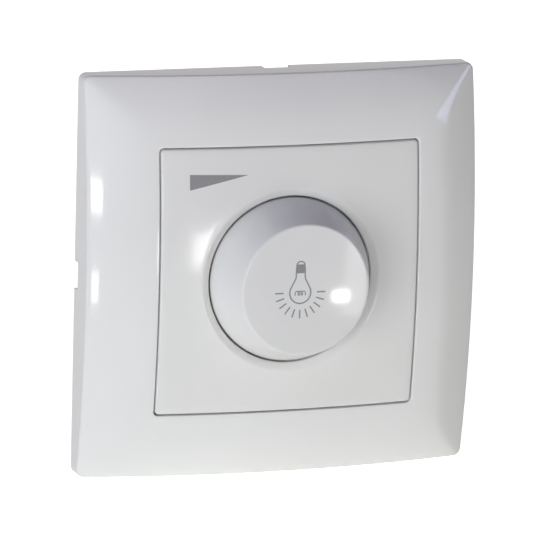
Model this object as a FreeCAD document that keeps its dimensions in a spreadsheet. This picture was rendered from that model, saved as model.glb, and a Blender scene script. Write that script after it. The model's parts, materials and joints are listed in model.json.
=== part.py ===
import FreeCAD, Part
import Sketcher
import math
import os
import re
from FreeCAD import Placement, Rotation, Vector

# Rotary dimmer switch for a round wall box: cover frame, centre plate and knob in the
# room, mounting bracket on the wall and the electronic module behind it.
# +X right, +Z up, +Y into the wall. The origin is on the knob's axis in the wall plane,
# so every Y below zero is in the room and every Y above zero is in the wall box.

doc = FreeCAD.newDocument("rotary_dimmer")

# Driving dimensions, millimetres
SIZES = {
    # cover frame
    "frame_width": 82,
    "frame_corner": 2,
    "frame_wall": 2,
    "frame_edge_round": 0.7,
    "dome_rise": 15.1,
    "dome_radius": 202,
    "margin_radius": 37.5,
    "pry_width": 5.6,
    "pry_depth": 2.3,
    "ledge_width": 1.5,
    "ledge_thickness": 1.5,
    "tube_wall": 1.7,
    # centre plate
    "insert_width": 54,
    "insert_gap": 0.3,
    "insert_corner": 0.8,
    "insert_edge_round": 0.4,
    "plate_wall": 1.5,
    "plate_skin": 1.8,
    "rim_radius": 18.5,
    "recess_radius": 17.05,
    "lip_drop": 1.9,
    "floor_thickness": 2,
    # knob
    "knob_gap": 0.35,
    "skirt_spare": 1.6,
    "skirt_straight": 0.4,
    "knob_height": 23.2,
    "knob_face_radius": 13.6,
    "knob_face_sag": 0.3,
    "knob_edge_round": 1.2,
    "knob_wall": 1.8,
    "knob_cap": 2,
    "hub_radius": 5,
    "hub_spare": 0.7,
    "knob_rib": 1.2,
    "rib_drop": 4.2,
    "rib_bury": 0.2,
    "ring_wire": 0.4,
    "ring_inset": 1.5,
    "ring_arc": 325,
    "knob_ribs": 6,
    # shaft and its bearing
    "shaft_radius": 3,
    "shaft_flat": 1.5,
    "shaft_chamfer": 0.4,
    "shaft_overrun": 1,
    "flat_spare": 0.3,
    "running_gap": 0.05,
    "push_travel": 1.5,
    "bushing_radius": 4.95,
    "bushing_overrun": 0.8,
    "bushing_chamfer": 0.3,
    "flange_thickness": 1.2,
    "washer_thickness": 0.5,
    "washer_radius": 7.6,
    "washer_teeth": 10,
    "washer_notch": 1.2,
    "nut_flats": 14,
    "nut_corner_trim": 0.3,
    "nut_thickness": 2,
    # bracket
    "bracket_width": 71,
    "bracket_corner": 4,
    "bracket_thickness": 1.2,
    "box_pitch": 60,
    "slot_width": 3.5,
    "slot_length": 6,
    "pad_radius": 19,
    "clear_gap": 0.15,
    "bracket_screw_x": 15.5,
    "bracket_screw_z": 17.5,
    "small_screw_radius": 1.2,
    "small_head_radius": 2.3,
    "small_head": 1.4,
    "bracket_screw_length": 4.6,
    # module housing
    "module_radius": 26,
    "module_side": 21,
    "module_top": 24,
    "module_bottom": 22.5,
    "module_depth": 28,
    "front_depth": 7,
    "front_skin": 2,
    "housing_wall": 1.6,
    "front_cavity_half": 13.9,
    "tower_height": 7.5,
    "tower_radius": 11,
    "boss_radius": 3.2,
    "top_boss_z": 21,
    "low_boss_x": 17.2,
    "low_boss_z": 13,
    "housing_screw_reach": 3.4,
    # circuit board and what it carries
    "board_front": 14,
    "board_thickness": 1.6,
    "board_gap": 0.3,
    "pot_radius": 9.5,
    "pot_wall": 1,
    "pot_depth": 9.2,
    "pin_width": 0.8,
    "pin_thickness": 0.5,
    "pin_drop": 7.1,
    "track_thickness": 0.8,
    "rotor_radius": 7.8,
    "rotor_thickness": 3,
    "rotor_collar": 4.5,
    "collar_length": 1.8,
    "leaf_thickness": 0.3,
    "leaf_root": 4.4,
    "leaf_tip": 5.9,
    "leaf_bend": 7.4,
    "leaf_width": 2,
    "switch_width": 10,
    "switch_height": 11,
    "switch_depth": 9.6,
    "switch_wall": 1.2,
    "strip_width": 1.6,
    "strip_thickness": 0.5,
    "plunger_radius": 3.7,
    "plunger_length": 3.4,
    "stem_radius": 1.5,
    "stem_length": 2,
    "spring_radius": 2.6,
    "spring_wire": 0.25,
    "spring_pitch": 1.1,
    "choke_radius": 5.2,
    "choke_core": 1.6,
    "choke_winding": 0.7,
    "choke_x": 8.5,
    "choke_z": 13.5,
    "film_left": 1.2,
    "film_length": 13,
    "film_low": 8,
    "film_height": 6,
    "film_depth": 9,
    "tall_radius": 3,
    "tall_depth": 9,
    "tall_x": 14.6,
    "tall_z": 2,
    "sink_thickness": 1.5,
    "sink_half": 12,
    "sink_low": 20.3,
    "sink_high": 10.2,
    "triac_thickness": 4.4,
    "triac_width": 10,
    "triac_body": 9,
    "triac_tab": 6.3,
    "triac_tab_thickness": 1.3,
    "triac_left": 11,
    "triac_screw_length": 4,
    "fuse_radius": 2.6,
    "fuse_length": 20,
    "fuse_z": 14,
    "clip_length": 5,
    "clip_wall": 0.6,
    "resistor_radius": 1.1,
    "resistor_length": 6,
    "resistor_x": 12.6,
    "resistor_pitch": 3,
    "diac_radius": 0.9,
    "diac_length": 4,
    # terminals
    "terminal_pitch": 9,
    "terminal_depth": 6,
    "cell_width": 7.4,
    "cage_width": 6.6,
    "cage_length": 6,
    "cage_wall": 1.1,
    "cage_inside": 4.9,
    "cage_travel": 3,
    "bar_height": 12.5,
    "bar_thickness": 1,
    "bar_width": 3.9,
    "terminal_screw_radius": 1.45,
    "terminal_head_radius": 2.4,
    "terminal_head": 1.8,
    "terminal_slot": 0.6,
    "wire_entry": 3.3,
    # claws
    "claw_screw_x": 22.9,
    "claw_screw_radius": 1.45,
    "claw_head_radius": 2.3,
    "claw_head": 1.9,
    "claw_screw_length": 21,
    "claw_arm": 6,
    "claw_sheet": 1.2,
    "claw_width": 7,
    "claw_front": 4,
    "claw_reach": 20,
    "claw_outside": 27.5,
    "claw_slot_in": 1.7,
    "claw_slot_out": 2.3,
    "claw_slot_width": 3.2,
    "notch_width": 8,
    # how far a cutting tool stands past what it cuts, and how far the dome's cuts turn
    "overcut": 1,
    "dome_sweep": 40,
}

sheet = doc.addObject("Spreadsheet::Sheet", "sizes")
for row, (word, value) in enumerate(SIZES.items(), start=1):
    sheet.set(f"A{row}", word.replace("_", " "))
    sheet.set(f"B{row}", str(value))
    sheet.setAlias(f"B{row}", word)
doc.recompute()


def size(word):
    """One driving dimension, read back from the sheet."""
    return float(sheet.get(word))


def tied(text):
    """A formula over the sheet, from one that names the driving dimensions by their words."""
    return re.sub(r"[a-z_]+", lambda m: "sizes." + m[0] if m[0] in SIZES else m[0], text)


# Places along Y that several pieces share, as formulas over the sheet
BRACKET_FRONT = "( 0 - bracket_thickness )"
LEDGE_FRONT = "( 0 - bracket_thickness - ledge_thickness )"
TOWER_FRONT = "( 0 - tower_height )"
FLOOR_FRONT = "( 0 - tower_height - floor_thickness )"
NUT_BACK = f"( {FLOOR_FRONT} - washer_thickness )"
NUT_FRONT = f"( {NUT_BACK} - nut_thickness )"
BUSHING_FRONT = f"( {NUT_FRONT} - bushing_overrun )"
LIP = "( lip_drop - dome_rise )"
SKIRT_BACK = f"( {FLOOR_FRONT} - push_travel - skirt_spare )"
CONE_BACK = f"( {LIP} - skirt_straight )"
KNOB_RADIUS = "( recess_radius - knob_gap )"
CAP_BACK = "( knob_cap - knob_height )"
HUB_BACK = f"( {BUSHING_FRONT} - push_travel - hub_spare )"
SHAFT_FRONT = f"( {CAP_BACK} + 2 * hub_spare )"
FLANGE_BACK = "( front_skin + flange_thickness )"
POT_BACK = f"( {FLANGE_BACK} + pot_depth )"
ROTOR_BACK = f"( {FLANGE_BACK} + running_gap + collar_length + rotor_thickness )"
TRACK_FRONT = f"( {POT_BACK} - pot_wall - track_thickness )"
BOARD_BACK = "( board_front + board_thickness )"
SHAFT_BACK = f"( {BOARD_BACK} + shaft_overrun )"
PLUNGER_FRONT = f"( {SHAFT_BACK} + running_gap )"
PLUNGER_BACK = f"( {PLUNGER_FRONT} + plunger_length )"
SWITCH_BACK = f"( {BOARD_BACK} + switch_depth )"
REAR_INSIDE = "( module_depth - housing_wall )"
BAR_TOP = "( 0 - bar_height )"
BAR_BOTTOM = "( 0 - bar_height - bar_thickness )"
CLAW_PIVOT_X = "( claw_screw_x - claw_arm )"
CLAW_PIVOT_Y = "( claw_front + claw_sheet / 2 )"
OUTSIDE = "( 0 - dome_rise - 2 * overcut )"
FAR_OUTSIDE = "( 0 - dome_rise - frame_width / 4 )"
KNEE = "( insert_width / 2 - insert_gap )"

PARTS = {}


def bind(thing, **formulas):
    """Tie properties of a document object to formulas over the sheet."""
    for name, text in formulas.items():
        thing.setExpression(name.replace("__", "."), tied(text))
    return thing


def keep(name, thing):
    """Enter a finished piece under the name of its file."""
    thing.Label = name
    PARTS[name] = thing
    return thing


# Solids made from primitives, each with its place along Y given as front and back

def rod(name, radius, front, back, x="0", z="0"):
    """Cylinder square to the wall."""
    thing = doc.addObject("Part::Cylinder", name)
    thing.Placement = Placement(Vector(), Rotation(Vector(1, 0, 0), 90))
    bind(thing, Radius=radius, Height=f"( {back} ) - ( {front} )", Placement__Base__x=x,
         Placement__Base__y=back, Placement__Base__z=z)
    return thing


def upright(name, radius, low, high, x, y):
    """Cylinder along Z."""
    thing = doc.addObject("Part::Cylinder", name)
    bind(thing, Radius=radius, Height=f"( {high} ) - ( {low} )", Placement__Base__x=x,
         Placement__Base__y=y, Placement__Base__z=low)
    return thing


def block(name, left, right, front, back, low, high):
    """Box between six planes."""
    thing = doc.addObject("Part::Box", name)
    bind(thing, Length=f"( {right} ) - ( {left} )", Width=f"( {back} ) - ( {front} )",
         Height=f"( {high} ) - ( {low} )", Placement__Base__x=left, Placement__Base__y=front,
         Placement__Base__z=low)
    return thing


def fuse(name, *things):
    thing = doc.addObject("Part::MultiFuse", name)
    thing.Shapes = list(things)
    return thing


def cut(name, base, *tools):
    thing = doc.addObject("Part::Cut", name)
    thing.Base = base
    thing.Tool = tools[0] if len(tools) == 1 else fuse(name + "_tools", *tools)
    return thing


def common(name, *things):
    thing = doc.addObject("Part::MultiCommon", name)
    thing.Shapes = list(things)
    return thing


def group(name, *things):
    """Separate solids that share one node."""
    thing = doc.addObject("Part::Compound", name)
    thing.Links = list(things)
    return thing


# Bodies drawn as sketches and features. A sketch is drawn at a rough size, and its sized
# constraints then pull it to the right one.

FIRST_GUESS = 9


def new_body(name):
    return doc.addObject("PartDesign::Body", name)


def origin_part(body, role):
    return next(f for f in body.Origin.OriginFeatures if f.Role == role)


def sketch_on(body, role, shift="0", turn=None):
    """Sketch on one of the body's origin planes, shifted along its normal."""
    sketch = body.newObject("Sketcher::SketchObject", body.Name + "_sketch")
    sketch.AttachmentSupport = (origin_part(body, role), [""])
    sketch.MapMode = "FlatFace"
    if turn:
        sketch.AttachmentOffset = Placement(Vector(), turn)
    bind(sketch, AttachmentOffset__Base__z=shift)
    return sketch


def wall_sketch(body, y):
    """Sketch parallel to the wall, X across and Z up."""
    return sketch_on(body, "XZ_Plane", f"0 - ( {y} )")


def drive(sketch, rules):
    """Add sized constraints, each tied to its formula."""
    for constraint, text in rules:
        number = sketch.addConstraint(constraint)
        sketch.renameConstraint(number, f"c{number}")
        sketch.setExpression(f"Constraints.c{number}", tied(text))


def place_point(sketch, geometry, end, x, y):
    """Fix one point of a sketch by formulas for its two coordinates."""
    for kind, axis, text in (("DistanceX", -2, x), ("DistanceY", -1, y)):
        if text == "0":
            sketch.addConstraint(Sketcher.Constraint("PointOnObject", geometry, end, axis))
            continue
        drive(sketch, [(Sketcher.Constraint(kind, -1, 1, geometry, end, 1.0), text)])


def outline(sketch, corners):
    """Closed outline of straight edges through corners given as formulas."""
    count = len(corners)
    first = sketch.GeometryCount
    turns = [2 * math.pi * k / count for k in range(count)]
    start = [Vector(FIRST_GUESS * math.cos(t), FIRST_GUESS * math.sin(t), 0) for t in turns]
    for k in range(count):
        sketch.addGeometry(Part.LineSegment(start[k], start[(k + 1) % count]), False)
    for k in range(count):
        sketch.addConstraint(
            Sketcher.Constraint("Coincident", first + k, 2, first + (k + 1) % count, 1))
    for k, (x, y) in enumerate(corners):
        place_point(sketch, first + k, 1, x, y)
    return sketch


def rectangle(sketch, left, right, low, high):
    return outline(sketch, [(left, low), (right, low), (right, high), (left, high)])


def square(sketch, half):
    return rectangle(sketch, f"0 - ( {half} )", half, f"0 - ( {half} )", half)


def circle(sketch, radius, x="0", y="0"):
    ring = Part.Circle(Vector(1, 1, 0), Vector(0, 0, 1), FIRST_GUESS)
    number = sketch.addGeometry(ring, False)
    place_point(sketch, number, 3, x, y)
    drive(sketch, [(Sketcher.Constraint("Radius", number, float(FIRST_GUESS)), radius)])
    return sketch


def feature(body, kind, sketch, **formulas):
    thing = body.newObject("PartDesign::" + kind, f"{body.Name}_{kind.lower()}")
    thing.Profile = sketch
    bind(thing, **formulas)
    sketch.Visibility = False
    return thing


def pad(body, sketch, front, back):
    """Material from the sketch at its front plane back to a second plane."""
    thing = feature(body, "Pad", sketch, Length=f"( {back} ) - ( {front} )")
    thing.Reversed = True
    return thing


def pocket(body, sketch, front, back):
    """Hole from the sketch at its front plane back to a second plane."""
    return feature(body, "Pocket", sketch, Length=f"( {back} ) - ( {front} )")


def turned(body, kind, sketch, axis="V_Axis", angle="360", midplane=False):
    """Revolution or groove about an axis of its sketch."""
    thing = feature(body, kind, sketch)
    thing.ReferenceAxis = (sketch, [axis])
    bind(thing, Angle=angle)
    thing.Midplane = midplane
    return thing


def pattern(body, originals, count, angle=360):
    """Copies turned about the knob's axis."""
    thing = body.newObject("PartDesign::PolarPattern", body.Name + "_pattern")
    thing.Originals = originals
    thing.Axis = (origin_part(body, "Y_Axis"), [""])
    thing.Angle = angle
    bind(thing, Occurrences=count)
    body.Tip = thing
    return thing


def soften(body, kind, wanted, radius):
    """Fillet or chamfer on every edge of the body that the test picks."""
    doc.recompute()
    base = body.Tip
    names = [f"Edge{k}" for k, edge in enumerate(base.Shape.Edges, start=1)
             if not edge.Degenerated and wanted(edge)]
    thing = body.newObject("PartDesign::" + kind, f"{body.Name}_{kind.lower()}")
    thing.Base = (base, names)
    bind(thing, **{"Radius" if kind == "Fillet" else "Size": radius})
    return thing


def runs_along(edge, direction):
    """True for a straight edge along the direction."""
    if not isinstance(edge.Curve, Part.Line):
        return False
    return abs(edge.tangentAt(edge.FirstParameter).dot(direction)) > 0.999


def at_y(edge, y, slack=0.001):
    box = edge.BoundBox
    return abs(box.YMin - y) < slack and abs(box.YMax - y) < slack


# The front of the frame and the plate: a dome of large radius whose margin falls away
# faster. Two cuts, each turned about an axis behind the wall, leave the mitred corners.
# The margin starts just inside the frame's opening, so the two cuts share no face there.

def dome_profile(sketch, skin, edge):
    """Region in front of the dome: middle arc, two tighter margin arcs, three lines."""
    inset = skin or "0"
    depth = size(skin) if skin else 0
    big = size("dome_radius") - depth
    small = size("margin_radius") - depth
    centre = size("dome_radius") - size("dome_rise")
    lean = math.asin((size("insert_width") / 2 - size("insert_gap")) / size("dome_radius"))
    knee = Vector(big * math.sin(lean), centre - big * math.cos(lean), 0)
    hub = Vector(knee.x - small * math.sin(lean), knee.y + small * math.cos(lean), 0)
    far = math.asin((edge - hub.x) / small)
    down = -math.pi / 2
    axis = Vector(0, 0, 1)
    middle = Part.Circle(Vector(0, centre, 0), axis, big)
    right = Part.Circle(hub, axis, small)
    left = Part.Circle(Vector(-hub.x, hub.y, 0), axis, small)
    sketch.addGeometry(Part.ArcOfCircle(middle, down - lean, down + lean), False)
    sketch.addGeometry(Part.ArcOfCircle(right, down + lean, down + far), False)
    sketch.addGeometry(Part.ArcOfCircle(left, down - far, down - lean), False)
    top = -size("dome_rise") - size("frame_width") / 4
    low = hub.y - small * math.cos(far)
    ring = [Vector(edge, low, 0), Vector(edge, top, 0), Vector(-edge, top, 0), Vector(-edge, low, 0)]
    for k in range(3):
        sketch.addGeometry(Part.LineSegment(ring[k], ring[k + 1]), False)
    rule = Sketcher.Constraint
    sketch.addConstraint([
        rule("Tangent", 0, 2, 1, 1), rule("Tangent", 2, 2, 0, 1), rule("Equal", 1, 2),
        rule("Coincident", 1, 2, 3, 1), rule("Coincident", 3, 2, 4, 1),
        rule("Coincident", 4, 2, 5, 1), rule("Coincident", 5, 2, 2, 1),
        rule("Vertical", 3), rule("Vertical", 5), rule("Horizontal", 4),
        rule("PointOnObject", 0, 3, -2)])
    drives = [
        (rule("Radius", 0, big), f"dome_radius - {inset}"),
        (rule("Radius", 1, small), f"margin_radius - {inset}"),
        (rule("DistanceY", -1, 1, 0, 3, centre), "dome_radius - dome_rise"),
        (rule("DistanceX", -1, 1, 0, 2, knee.x),
         f"{KNEE} * ( dome_radius - {inset} ) / dome_radius"),
        (rule("DistanceX", 0, 1, -1, 1, knee.x),
         f"{KNEE} * ( dome_radius - {inset} ) / dome_radius"),
        (rule("DistanceX", -1, 1, 1, 2, edge), "frame_width / 2 + overcut"),
        (rule("DistanceX", 2, 1, -1, 1, edge), "frame_width / 2 + overcut"),
        (rule("DistanceY", -1, 1, 3, 2, top), FAR_OUTSIDE),
    ]
    drive(sketch, drives)
    ends = [Vector(side * FIRST_GUESS, centre, 0) for side in (-1, 1)]
    line = sketch.addGeometry(Part.LineSegment(*ends), True)
    sketch.addConstraint([rule("Horizontal", line), rule("Symmetric", line, 1, line, 2, 0, 3),
                          rule("DistanceX", line, 1, line, 2, 2 * FIRST_GUESS)])
    return sketch


def dome_cuts(body, skin=None):
    """Both turned cuts that leave the dome, or its copy set back by the named skin."""
    edge = size("frame_width") / 2 + size("overcut")
    for turn in (Rotation(), Rotation(Vector(0, 1, 0), 90)):
        sketch = dome_profile(sketch_on(body, "XY_Plane", turn=turn), skin, edge)
        turned(body, "Groove", sketch, axis="Axis0", angle="dome_sweep", midplane=True)


def ball_cut(body, radius, apex, edge, guess):
    """One full turned cut that leaves a spherical front of a given radius and apex."""
    big, top_y, reach = guess
    far = math.asin(reach / big)
    top = -size("dome_rise") - size("knob_height")
    centre = top_y + big
    sketch = sketch_on(body, "XY_Plane")
    ball = Part.Circle(Vector(0, centre, 0), Vector(0, 0, 1), big)
    sketch.addGeometry(Part.ArcOfCircle(ball, -math.pi / 2, -math.pi / 2 + far), False)
    ring = [Vector(reach, centre - big * math.cos(far), 0), Vector(reach, top, 0),
            Vector(0, top, 0), Vector(0, top_y, 0)]
    for k in range(3):
        sketch.addGeometry(Part.LineSegment(ring[k], ring[k + 1]), False)
    rule = Sketcher.Constraint
    sketch.addConstraint([
        rule("Coincident", 0, 2, 1, 1), rule("Coincident", 1, 2, 2, 1),
        rule("Coincident", 2, 2, 3, 1), rule("Coincident", 3, 2, 0, 1),
        rule("Vertical", 1), rule("Horizontal", 2), rule("PointOnObject", 3, 1, -2),
        rule("PointOnObject", 3, 2, -2), rule("PointOnObject", 0, 3, -2)])
    drive(sketch, [
        (rule("Radius", 0, big), radius),
        (rule("DistanceY", -1, 1, 0, 3, centre), f"{apex} + {radius}"),
        (rule("DistanceX", -1, 1, 0, 2, reach), edge),
        (rule("DistanceY", -1, 1, 1, 2, top), "0 - dome_rise - knob_height"),
    ])
    return turned(body, "Groove", sketch)


def plate_dome(body, inset):
    """Cut away what stands in front of the dome, or of its copy set back by a skin."""
    guess = (size("dome_radius"), -size("dome_rise"), size("insert_width"))
    ball_cut(body, f"( dome_radius - {inset} )", f"( {inset} - dome_rise )", "insert_width", guess)


# Cover frame: domed shell with a lipped square opening and four pry notches

def cover_frame():
    half = "frame_width / 2"
    opening = "( insert_width / 2 + insert_gap )"
    shell = new_body("frame_shell")
    pad(shell, square(wall_sketch(shell, OUTSIDE), half), OUTSIDE, "0")
    soften(shell, "Fillet", lambda e: runs_along(e, Vector(0, 1, 0)), "frame_corner")
    pocket(shell, square(wall_sketch(shell, OUTSIDE), opening), OUTSIDE, LEDGE_FRONT)
    outer = size("frame_width") / 2 - size("frame_corner")

    def opening_corner(edge):
        end = edge.Vertexes[0]
        return runs_along(edge, Vector(0, 1, 0)) and max(abs(end.X), abs(end.Z)) < outer

    soften(shell, "Fillet", opening_corner, "insert_corner + insert_gap")
    dome_cuts(shell)

    def crease(edge):
        middle = edge.valueAt((edge.FirstParameter + edge.LastParameter) / 2)
        on_side = max(abs(middle.x), abs(middle.z)) > outer
        return on_side and not at_y(edge, 0) and not runs_along(edge, Vector(0, 1, 0))

    soften(shell, "Fillet", crease, "frame_edge_round")
    ledge = f"{opening} - ledge_width"
    pocket(shell, square(wall_sketch(shell, LEDGE_FRONT), ledge), LEDGE_FRONT, "0")
    tube = f"{opening} + tube_wall"
    pocket(shell, square(wall_sketch(shell, BRACKET_FRONT), tube), BRACKET_FRONT, "0")
    notch = rectangle(wall_sketch(shell, "0 - pry_depth"), "0 - pry_width / 2", "pry_width / 2",
                      f"{half} - 2 * frame_wall", f"{half} + overcut")
    pattern(shell, [pocket(shell, notch, "0 - pry_depth", "0")], "4")

    hollow = new_body("frame_hollow")
    pad(hollow, square(wall_sketch(hollow, OUTSIDE), f"{half} - frame_wall"), OUTSIDE, "0")
    pocket(hollow, square(wall_sketch(hollow, OUTSIDE), tube), OUTSIDE, "0")
    dome_cuts(hollow, "frame_wall")
    keep("cover_frame", cut("cover_frame_shell", shell, hollow))


# Centre plate: domed square with a countersunk cup for the knob

def center_plate():
    half = "insert_width / 2"
    shell = new_body("plate_shell")
    pad(shell, square(wall_sketch(shell, OUTSIDE), half), OUTSIDE, LEDGE_FRONT)
    soften(shell, "Fillet", lambda e: runs_along(e, Vector(0, 1, 0)), "insert_corner")
    plate_dome(shell, "0")
    back = -size("bracket_thickness") - size("ledge_thickness")

    def front_edge(edge):
        return not at_y(edge, back) and not runs_along(edge, Vector(0, 1, 0))

    soften(shell, "Fillet", front_edge, "insert_edge_round")
    rim = "( dome_radius - dome_rise - sqrt(dome_radius ^ 2 - rim_radius ^ 2) )"
    recess = outline(sketch_on(shell, "XY_Plane"), [
        ("0", OUTSIDE), ("rim_radius", OUTSIDE), ("rim_radius", rim), ("recess_radius", LIP),
        ("recess_radius", FLOOR_FRONT), ("0", FLOOR_FRONT)])
    turned(shell, "Groove", recess)
    hole = circle(wall_sketch(shell, FLOOR_FRONT), "bushing_radius + clear_gap")
    pocket(shell, hole, FLOOR_FRONT, TOWER_FRONT)

    hollow = new_body("plate_hollow")
    inside = f"{half} - plate_wall"
    pad(hollow, square(wall_sketch(hollow, OUTSIDE), inside), OUTSIDE, LEDGE_FRONT)
    plate_dome(hollow, "plate_skin")
    cup = circle(wall_sketch(hollow, OUTSIDE), "recess_radius + plate_skin")
    pocket(hollow, cup, OUTSIDE, TOWER_FRONT)
    keep("center_plate", cut("center_plate_shell", shell, hollow))


# Knob: tapered cup with a split hub, six ribs and a flatted bore

def knob():
    body = new_body("knob")
    apex = "( 0 - knob_height - knob_face_sag )"
    taper = f"( ( {KNOB_RADIUS} - knob_face_radius ) / ( knob_height + {CONE_BACK} ) )"
    cap_inside = f"( knob_face_radius + knob_cap * {taper} - knob_wall )"
    skirt_inside = f"( {KNOB_RADIUS} - knob_wall )"
    outer = outline(sketch_on(body, "XY_Plane"), [
        ("0", apex), ("knob_face_radius", apex), ("knob_face_radius", "0 - knob_height"),
        (KNOB_RADIUS, CONE_BACK), (KNOB_RADIUS, SKIRT_BACK), ("0", SKIRT_BACK)])
    turned(body, "Revolution", outer)
    sag = size("knob_face_sag")
    face = size("knob_face_radius")
    reach = face + size("overcut")
    guess = ((face ** 2 + sag ** 2) / 2 / sag, -size("knob_height") - sag, reach)
    face_radius = "( (knob_face_radius ^ 2 + knob_face_sag ^ 2) / 2 / knob_face_sag )"
    ball_cut(body, face_radius, apex, "knob_face_radius + overcut", guess)
    soften(body, "Fillet", lambda e: at_y(e, -size("knob_height"), 0.02), "knob_edge_round")
    cavity = outline(sketch_on(body, "XY_Plane"), [
        ("hub_radius", CAP_BACK), (cap_inside, CAP_BACK), (skirt_inside, CONE_BACK),
        (skirt_inside, f"{SKIRT_BACK} + overcut"), ("hub_radius", f"{SKIRT_BACK} + overcut")])
    turned(body, "Groove", cavity)
    rib_back = f"( {CAP_BACK} + rib_drop )"
    rib = rectangle(wall_sketch(body, CAP_BACK), "hub_radius - rib_bury",
                    f"{cap_inside} + knob_wall - rib_bury", "0 - knob_rib / 2", "knob_rib / 2")
    pattern(body, [pad(body, rib, CAP_BACK, rib_back)], "knob_ribs")
    pocket(body, circle(wall_sketch(body, HUB_BACK), "hub_radius + overcut"), HUB_BACK, SKIRT_BACK)
    bore_front = f"( {SHAFT_FRONT} - running_gap )"
    pocket(body, circle(wall_sketch(body, bore_front), "shaft_radius + running_gap"),
           bore_front, HUB_BACK)
    flat = rectangle(wall_sketch(body, bore_front), "0 - shaft_radius", "shaft_radius",
                     "shaft_radius - shaft_flat + running_gap", "hub_radius - ring_wire * 2")
    pad(body, flat, bore_front, HUB_BACK)
    ring_y = f"( {HUB_BACK} - ring_inset )"
    seat = rectangle(sketch_on(body, "XY_Plane"), "hub_radius - ring_wire - running_gap",
                     "hub_radius + ring_wire", f"{ring_y} - ring_wire - running_gap",
                     f"{ring_y} + ring_wire + running_gap")
    turned(body, "Groove", seat)
    keep("knob", body)

    ring = doc.addObject("Part::Torus", "ring_wire")
    ring.Placement = Placement(Vector(), Rotation(Vector(1, 0, 0), 90))
    bind(ring, Radius1="hub_radius", Radius2="ring_wire", Angle3="ring_arc",
         Placement__Base__y=ring_y)
    keep("knob_spring_ring", ring)


# Shaft with two flats, its threaded bushing, washer and nut

def shaft():
    body = new_body("shaft")
    pad(body, circle(wall_sketch(body, SHAFT_FRONT), "shaft_radius"), SHAFT_FRONT, SHAFT_BACK)
    soften(body, "Chamfer", lambda e: isinstance(e.Curve, Part.Circle), "shaft_chamfer")
    rotor_flat = f"( {FLANGE_BACK} + running_gap - push_travel - flat_spare )"
    for front, back in ((SHAFT_FRONT, f"{HUB_BACK} + flat_spare"), (rotor_flat, SHAFT_BACK)):
        flat = rectangle(wall_sketch(body, front), "0 - shaft_radius - overcut", "shaft_radius + overcut",
                         "shaft_radius - shaft_flat", "shaft_radius + overcut")
        pocket(body, flat, front, back)
    keep("shaft", body)


def bushing():
    body = new_body("threaded_bushing")
    bore = "shaft_radius + running_gap"
    section = outline(sketch_on(body, "XY_Plane"), [
        (bore, BUSHING_FRONT), ("bushing_radius", BUSHING_FRONT), ("bushing_radius", "front_skin"),
        ("pot_radius", "front_skin"), ("pot_radius", FLANGE_BACK), (bore, FLANGE_BACK)])
    turned(body, "Revolution", section)
    doc.recompute()
    front = min(v.Point.y for v in body.Shape.Vertexes)
    outer = (size("shaft_radius") + size("bushing_radius")) / 2
    soften(body, "Chamfer", lambda e: at_y(e, front) and e.BoundBox.XMax > outer,
           "bushing_chamfer")
    keep("threaded_bushing", body)


def bushing_nut():
    corner = "nut_flats / 2 / cos(30)"
    blank = doc.addObject("Part::Prism", "nut_blank")
    blank.Polygon = 6
    blank.Placement = Placement(Vector(), Rotation(Vector(1, 0, 0), 90))
    bind(blank, Circumradius=corner, Height="nut_thickness", Placement__Base__y=NUT_BACK)
    rounded = common("nut_rounded", blank, rod("nut_round", f"{corner} - nut_corner_trim",
                                               NUT_FRONT, NUT_BACK))
    bore = rod("nut_bore", "bushing_radius + running_gap", f"{NUT_FRONT} - overcut", f"{NUT_BACK} + overcut")
    keep("bushing_nut", cut("nut", rounded, bore))


def lock_washer():
    body = new_body("lock_washer")
    pad(body, circle(wall_sketch(body, NUT_BACK), "washer_radius"), NUT_BACK, FLOOR_FRONT)
    pocket(body, circle(wall_sketch(body, NUT_BACK), "bushing_radius + clear_gap"), NUT_BACK,
           FLOOR_FRONT)
    gap = rectangle(wall_sketch(body, NUT_BACK), "bushing_radius - overcut", "bushing_radius + washer_notch",
                    "0 - washer_thickness", "washer_thickness")
    pattern(body, [pocket(body, gap, NUT_BACK, FLOOR_FRONT)], "washer_teeth")
    keep("lock_washer", body)


# Fasteners: shank and head along Y, the head on the room side unless turned

def wall_screw(name, radius, head_radius, seat, head, length, x, z, side=1):
    """Pan-head screw whose head sits on the plane `seat`; side -1 puts the head at the back."""
    if side > 0:
        shank = rod(name + "_shank", radius, seat, f"{seat} + {length}", x, z)
        cap = rod(name + "_head", head_radius, f"{seat} - {head}", seat, x, z)
        slot = block(name + "_slot", f"{x} - {head_radius}", f"{x} + {head_radius}",
                     f"{seat} - {head}", f"{seat} - {head} / 2", f"{z} - {radius} / 4",
                     f"{z} + {radius} / 4")
    else:
        shank = rod(name + "_shank", radius, f"{seat} - {length}", seat, x, z)
        cap = rod(name + "_head", head_radius, seat, f"{seat} + {head}", x, z)
        slot = block(name + "_slot", f"{x} - {head_radius}", f"{x} + {head_radius}",
                     f"{seat} + {head} / 2", f"{seat} + {head}", f"{z} - {radius} / 4",
                     f"{z} + {radius} / 4")
    return cut(name, fuse(name + "_blank", shank, cap), slot)


BRACKET_SCREWS = [(f"( {a} * bracket_screw_x )", f"( {b} * bracket_screw_z )")
                  for a in (-1, 1) for b in (-1, 1)]
HOUSING_SCREWS = [("0", "top_boss_z"), ("( 0 - low_boss_x )", "( 0 - low_boss_z )"),
                  ("low_boss_x", "( 0 - low_boss_z )")]


# Mounting bracket: stamped plate with four slots for box screws

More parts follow.
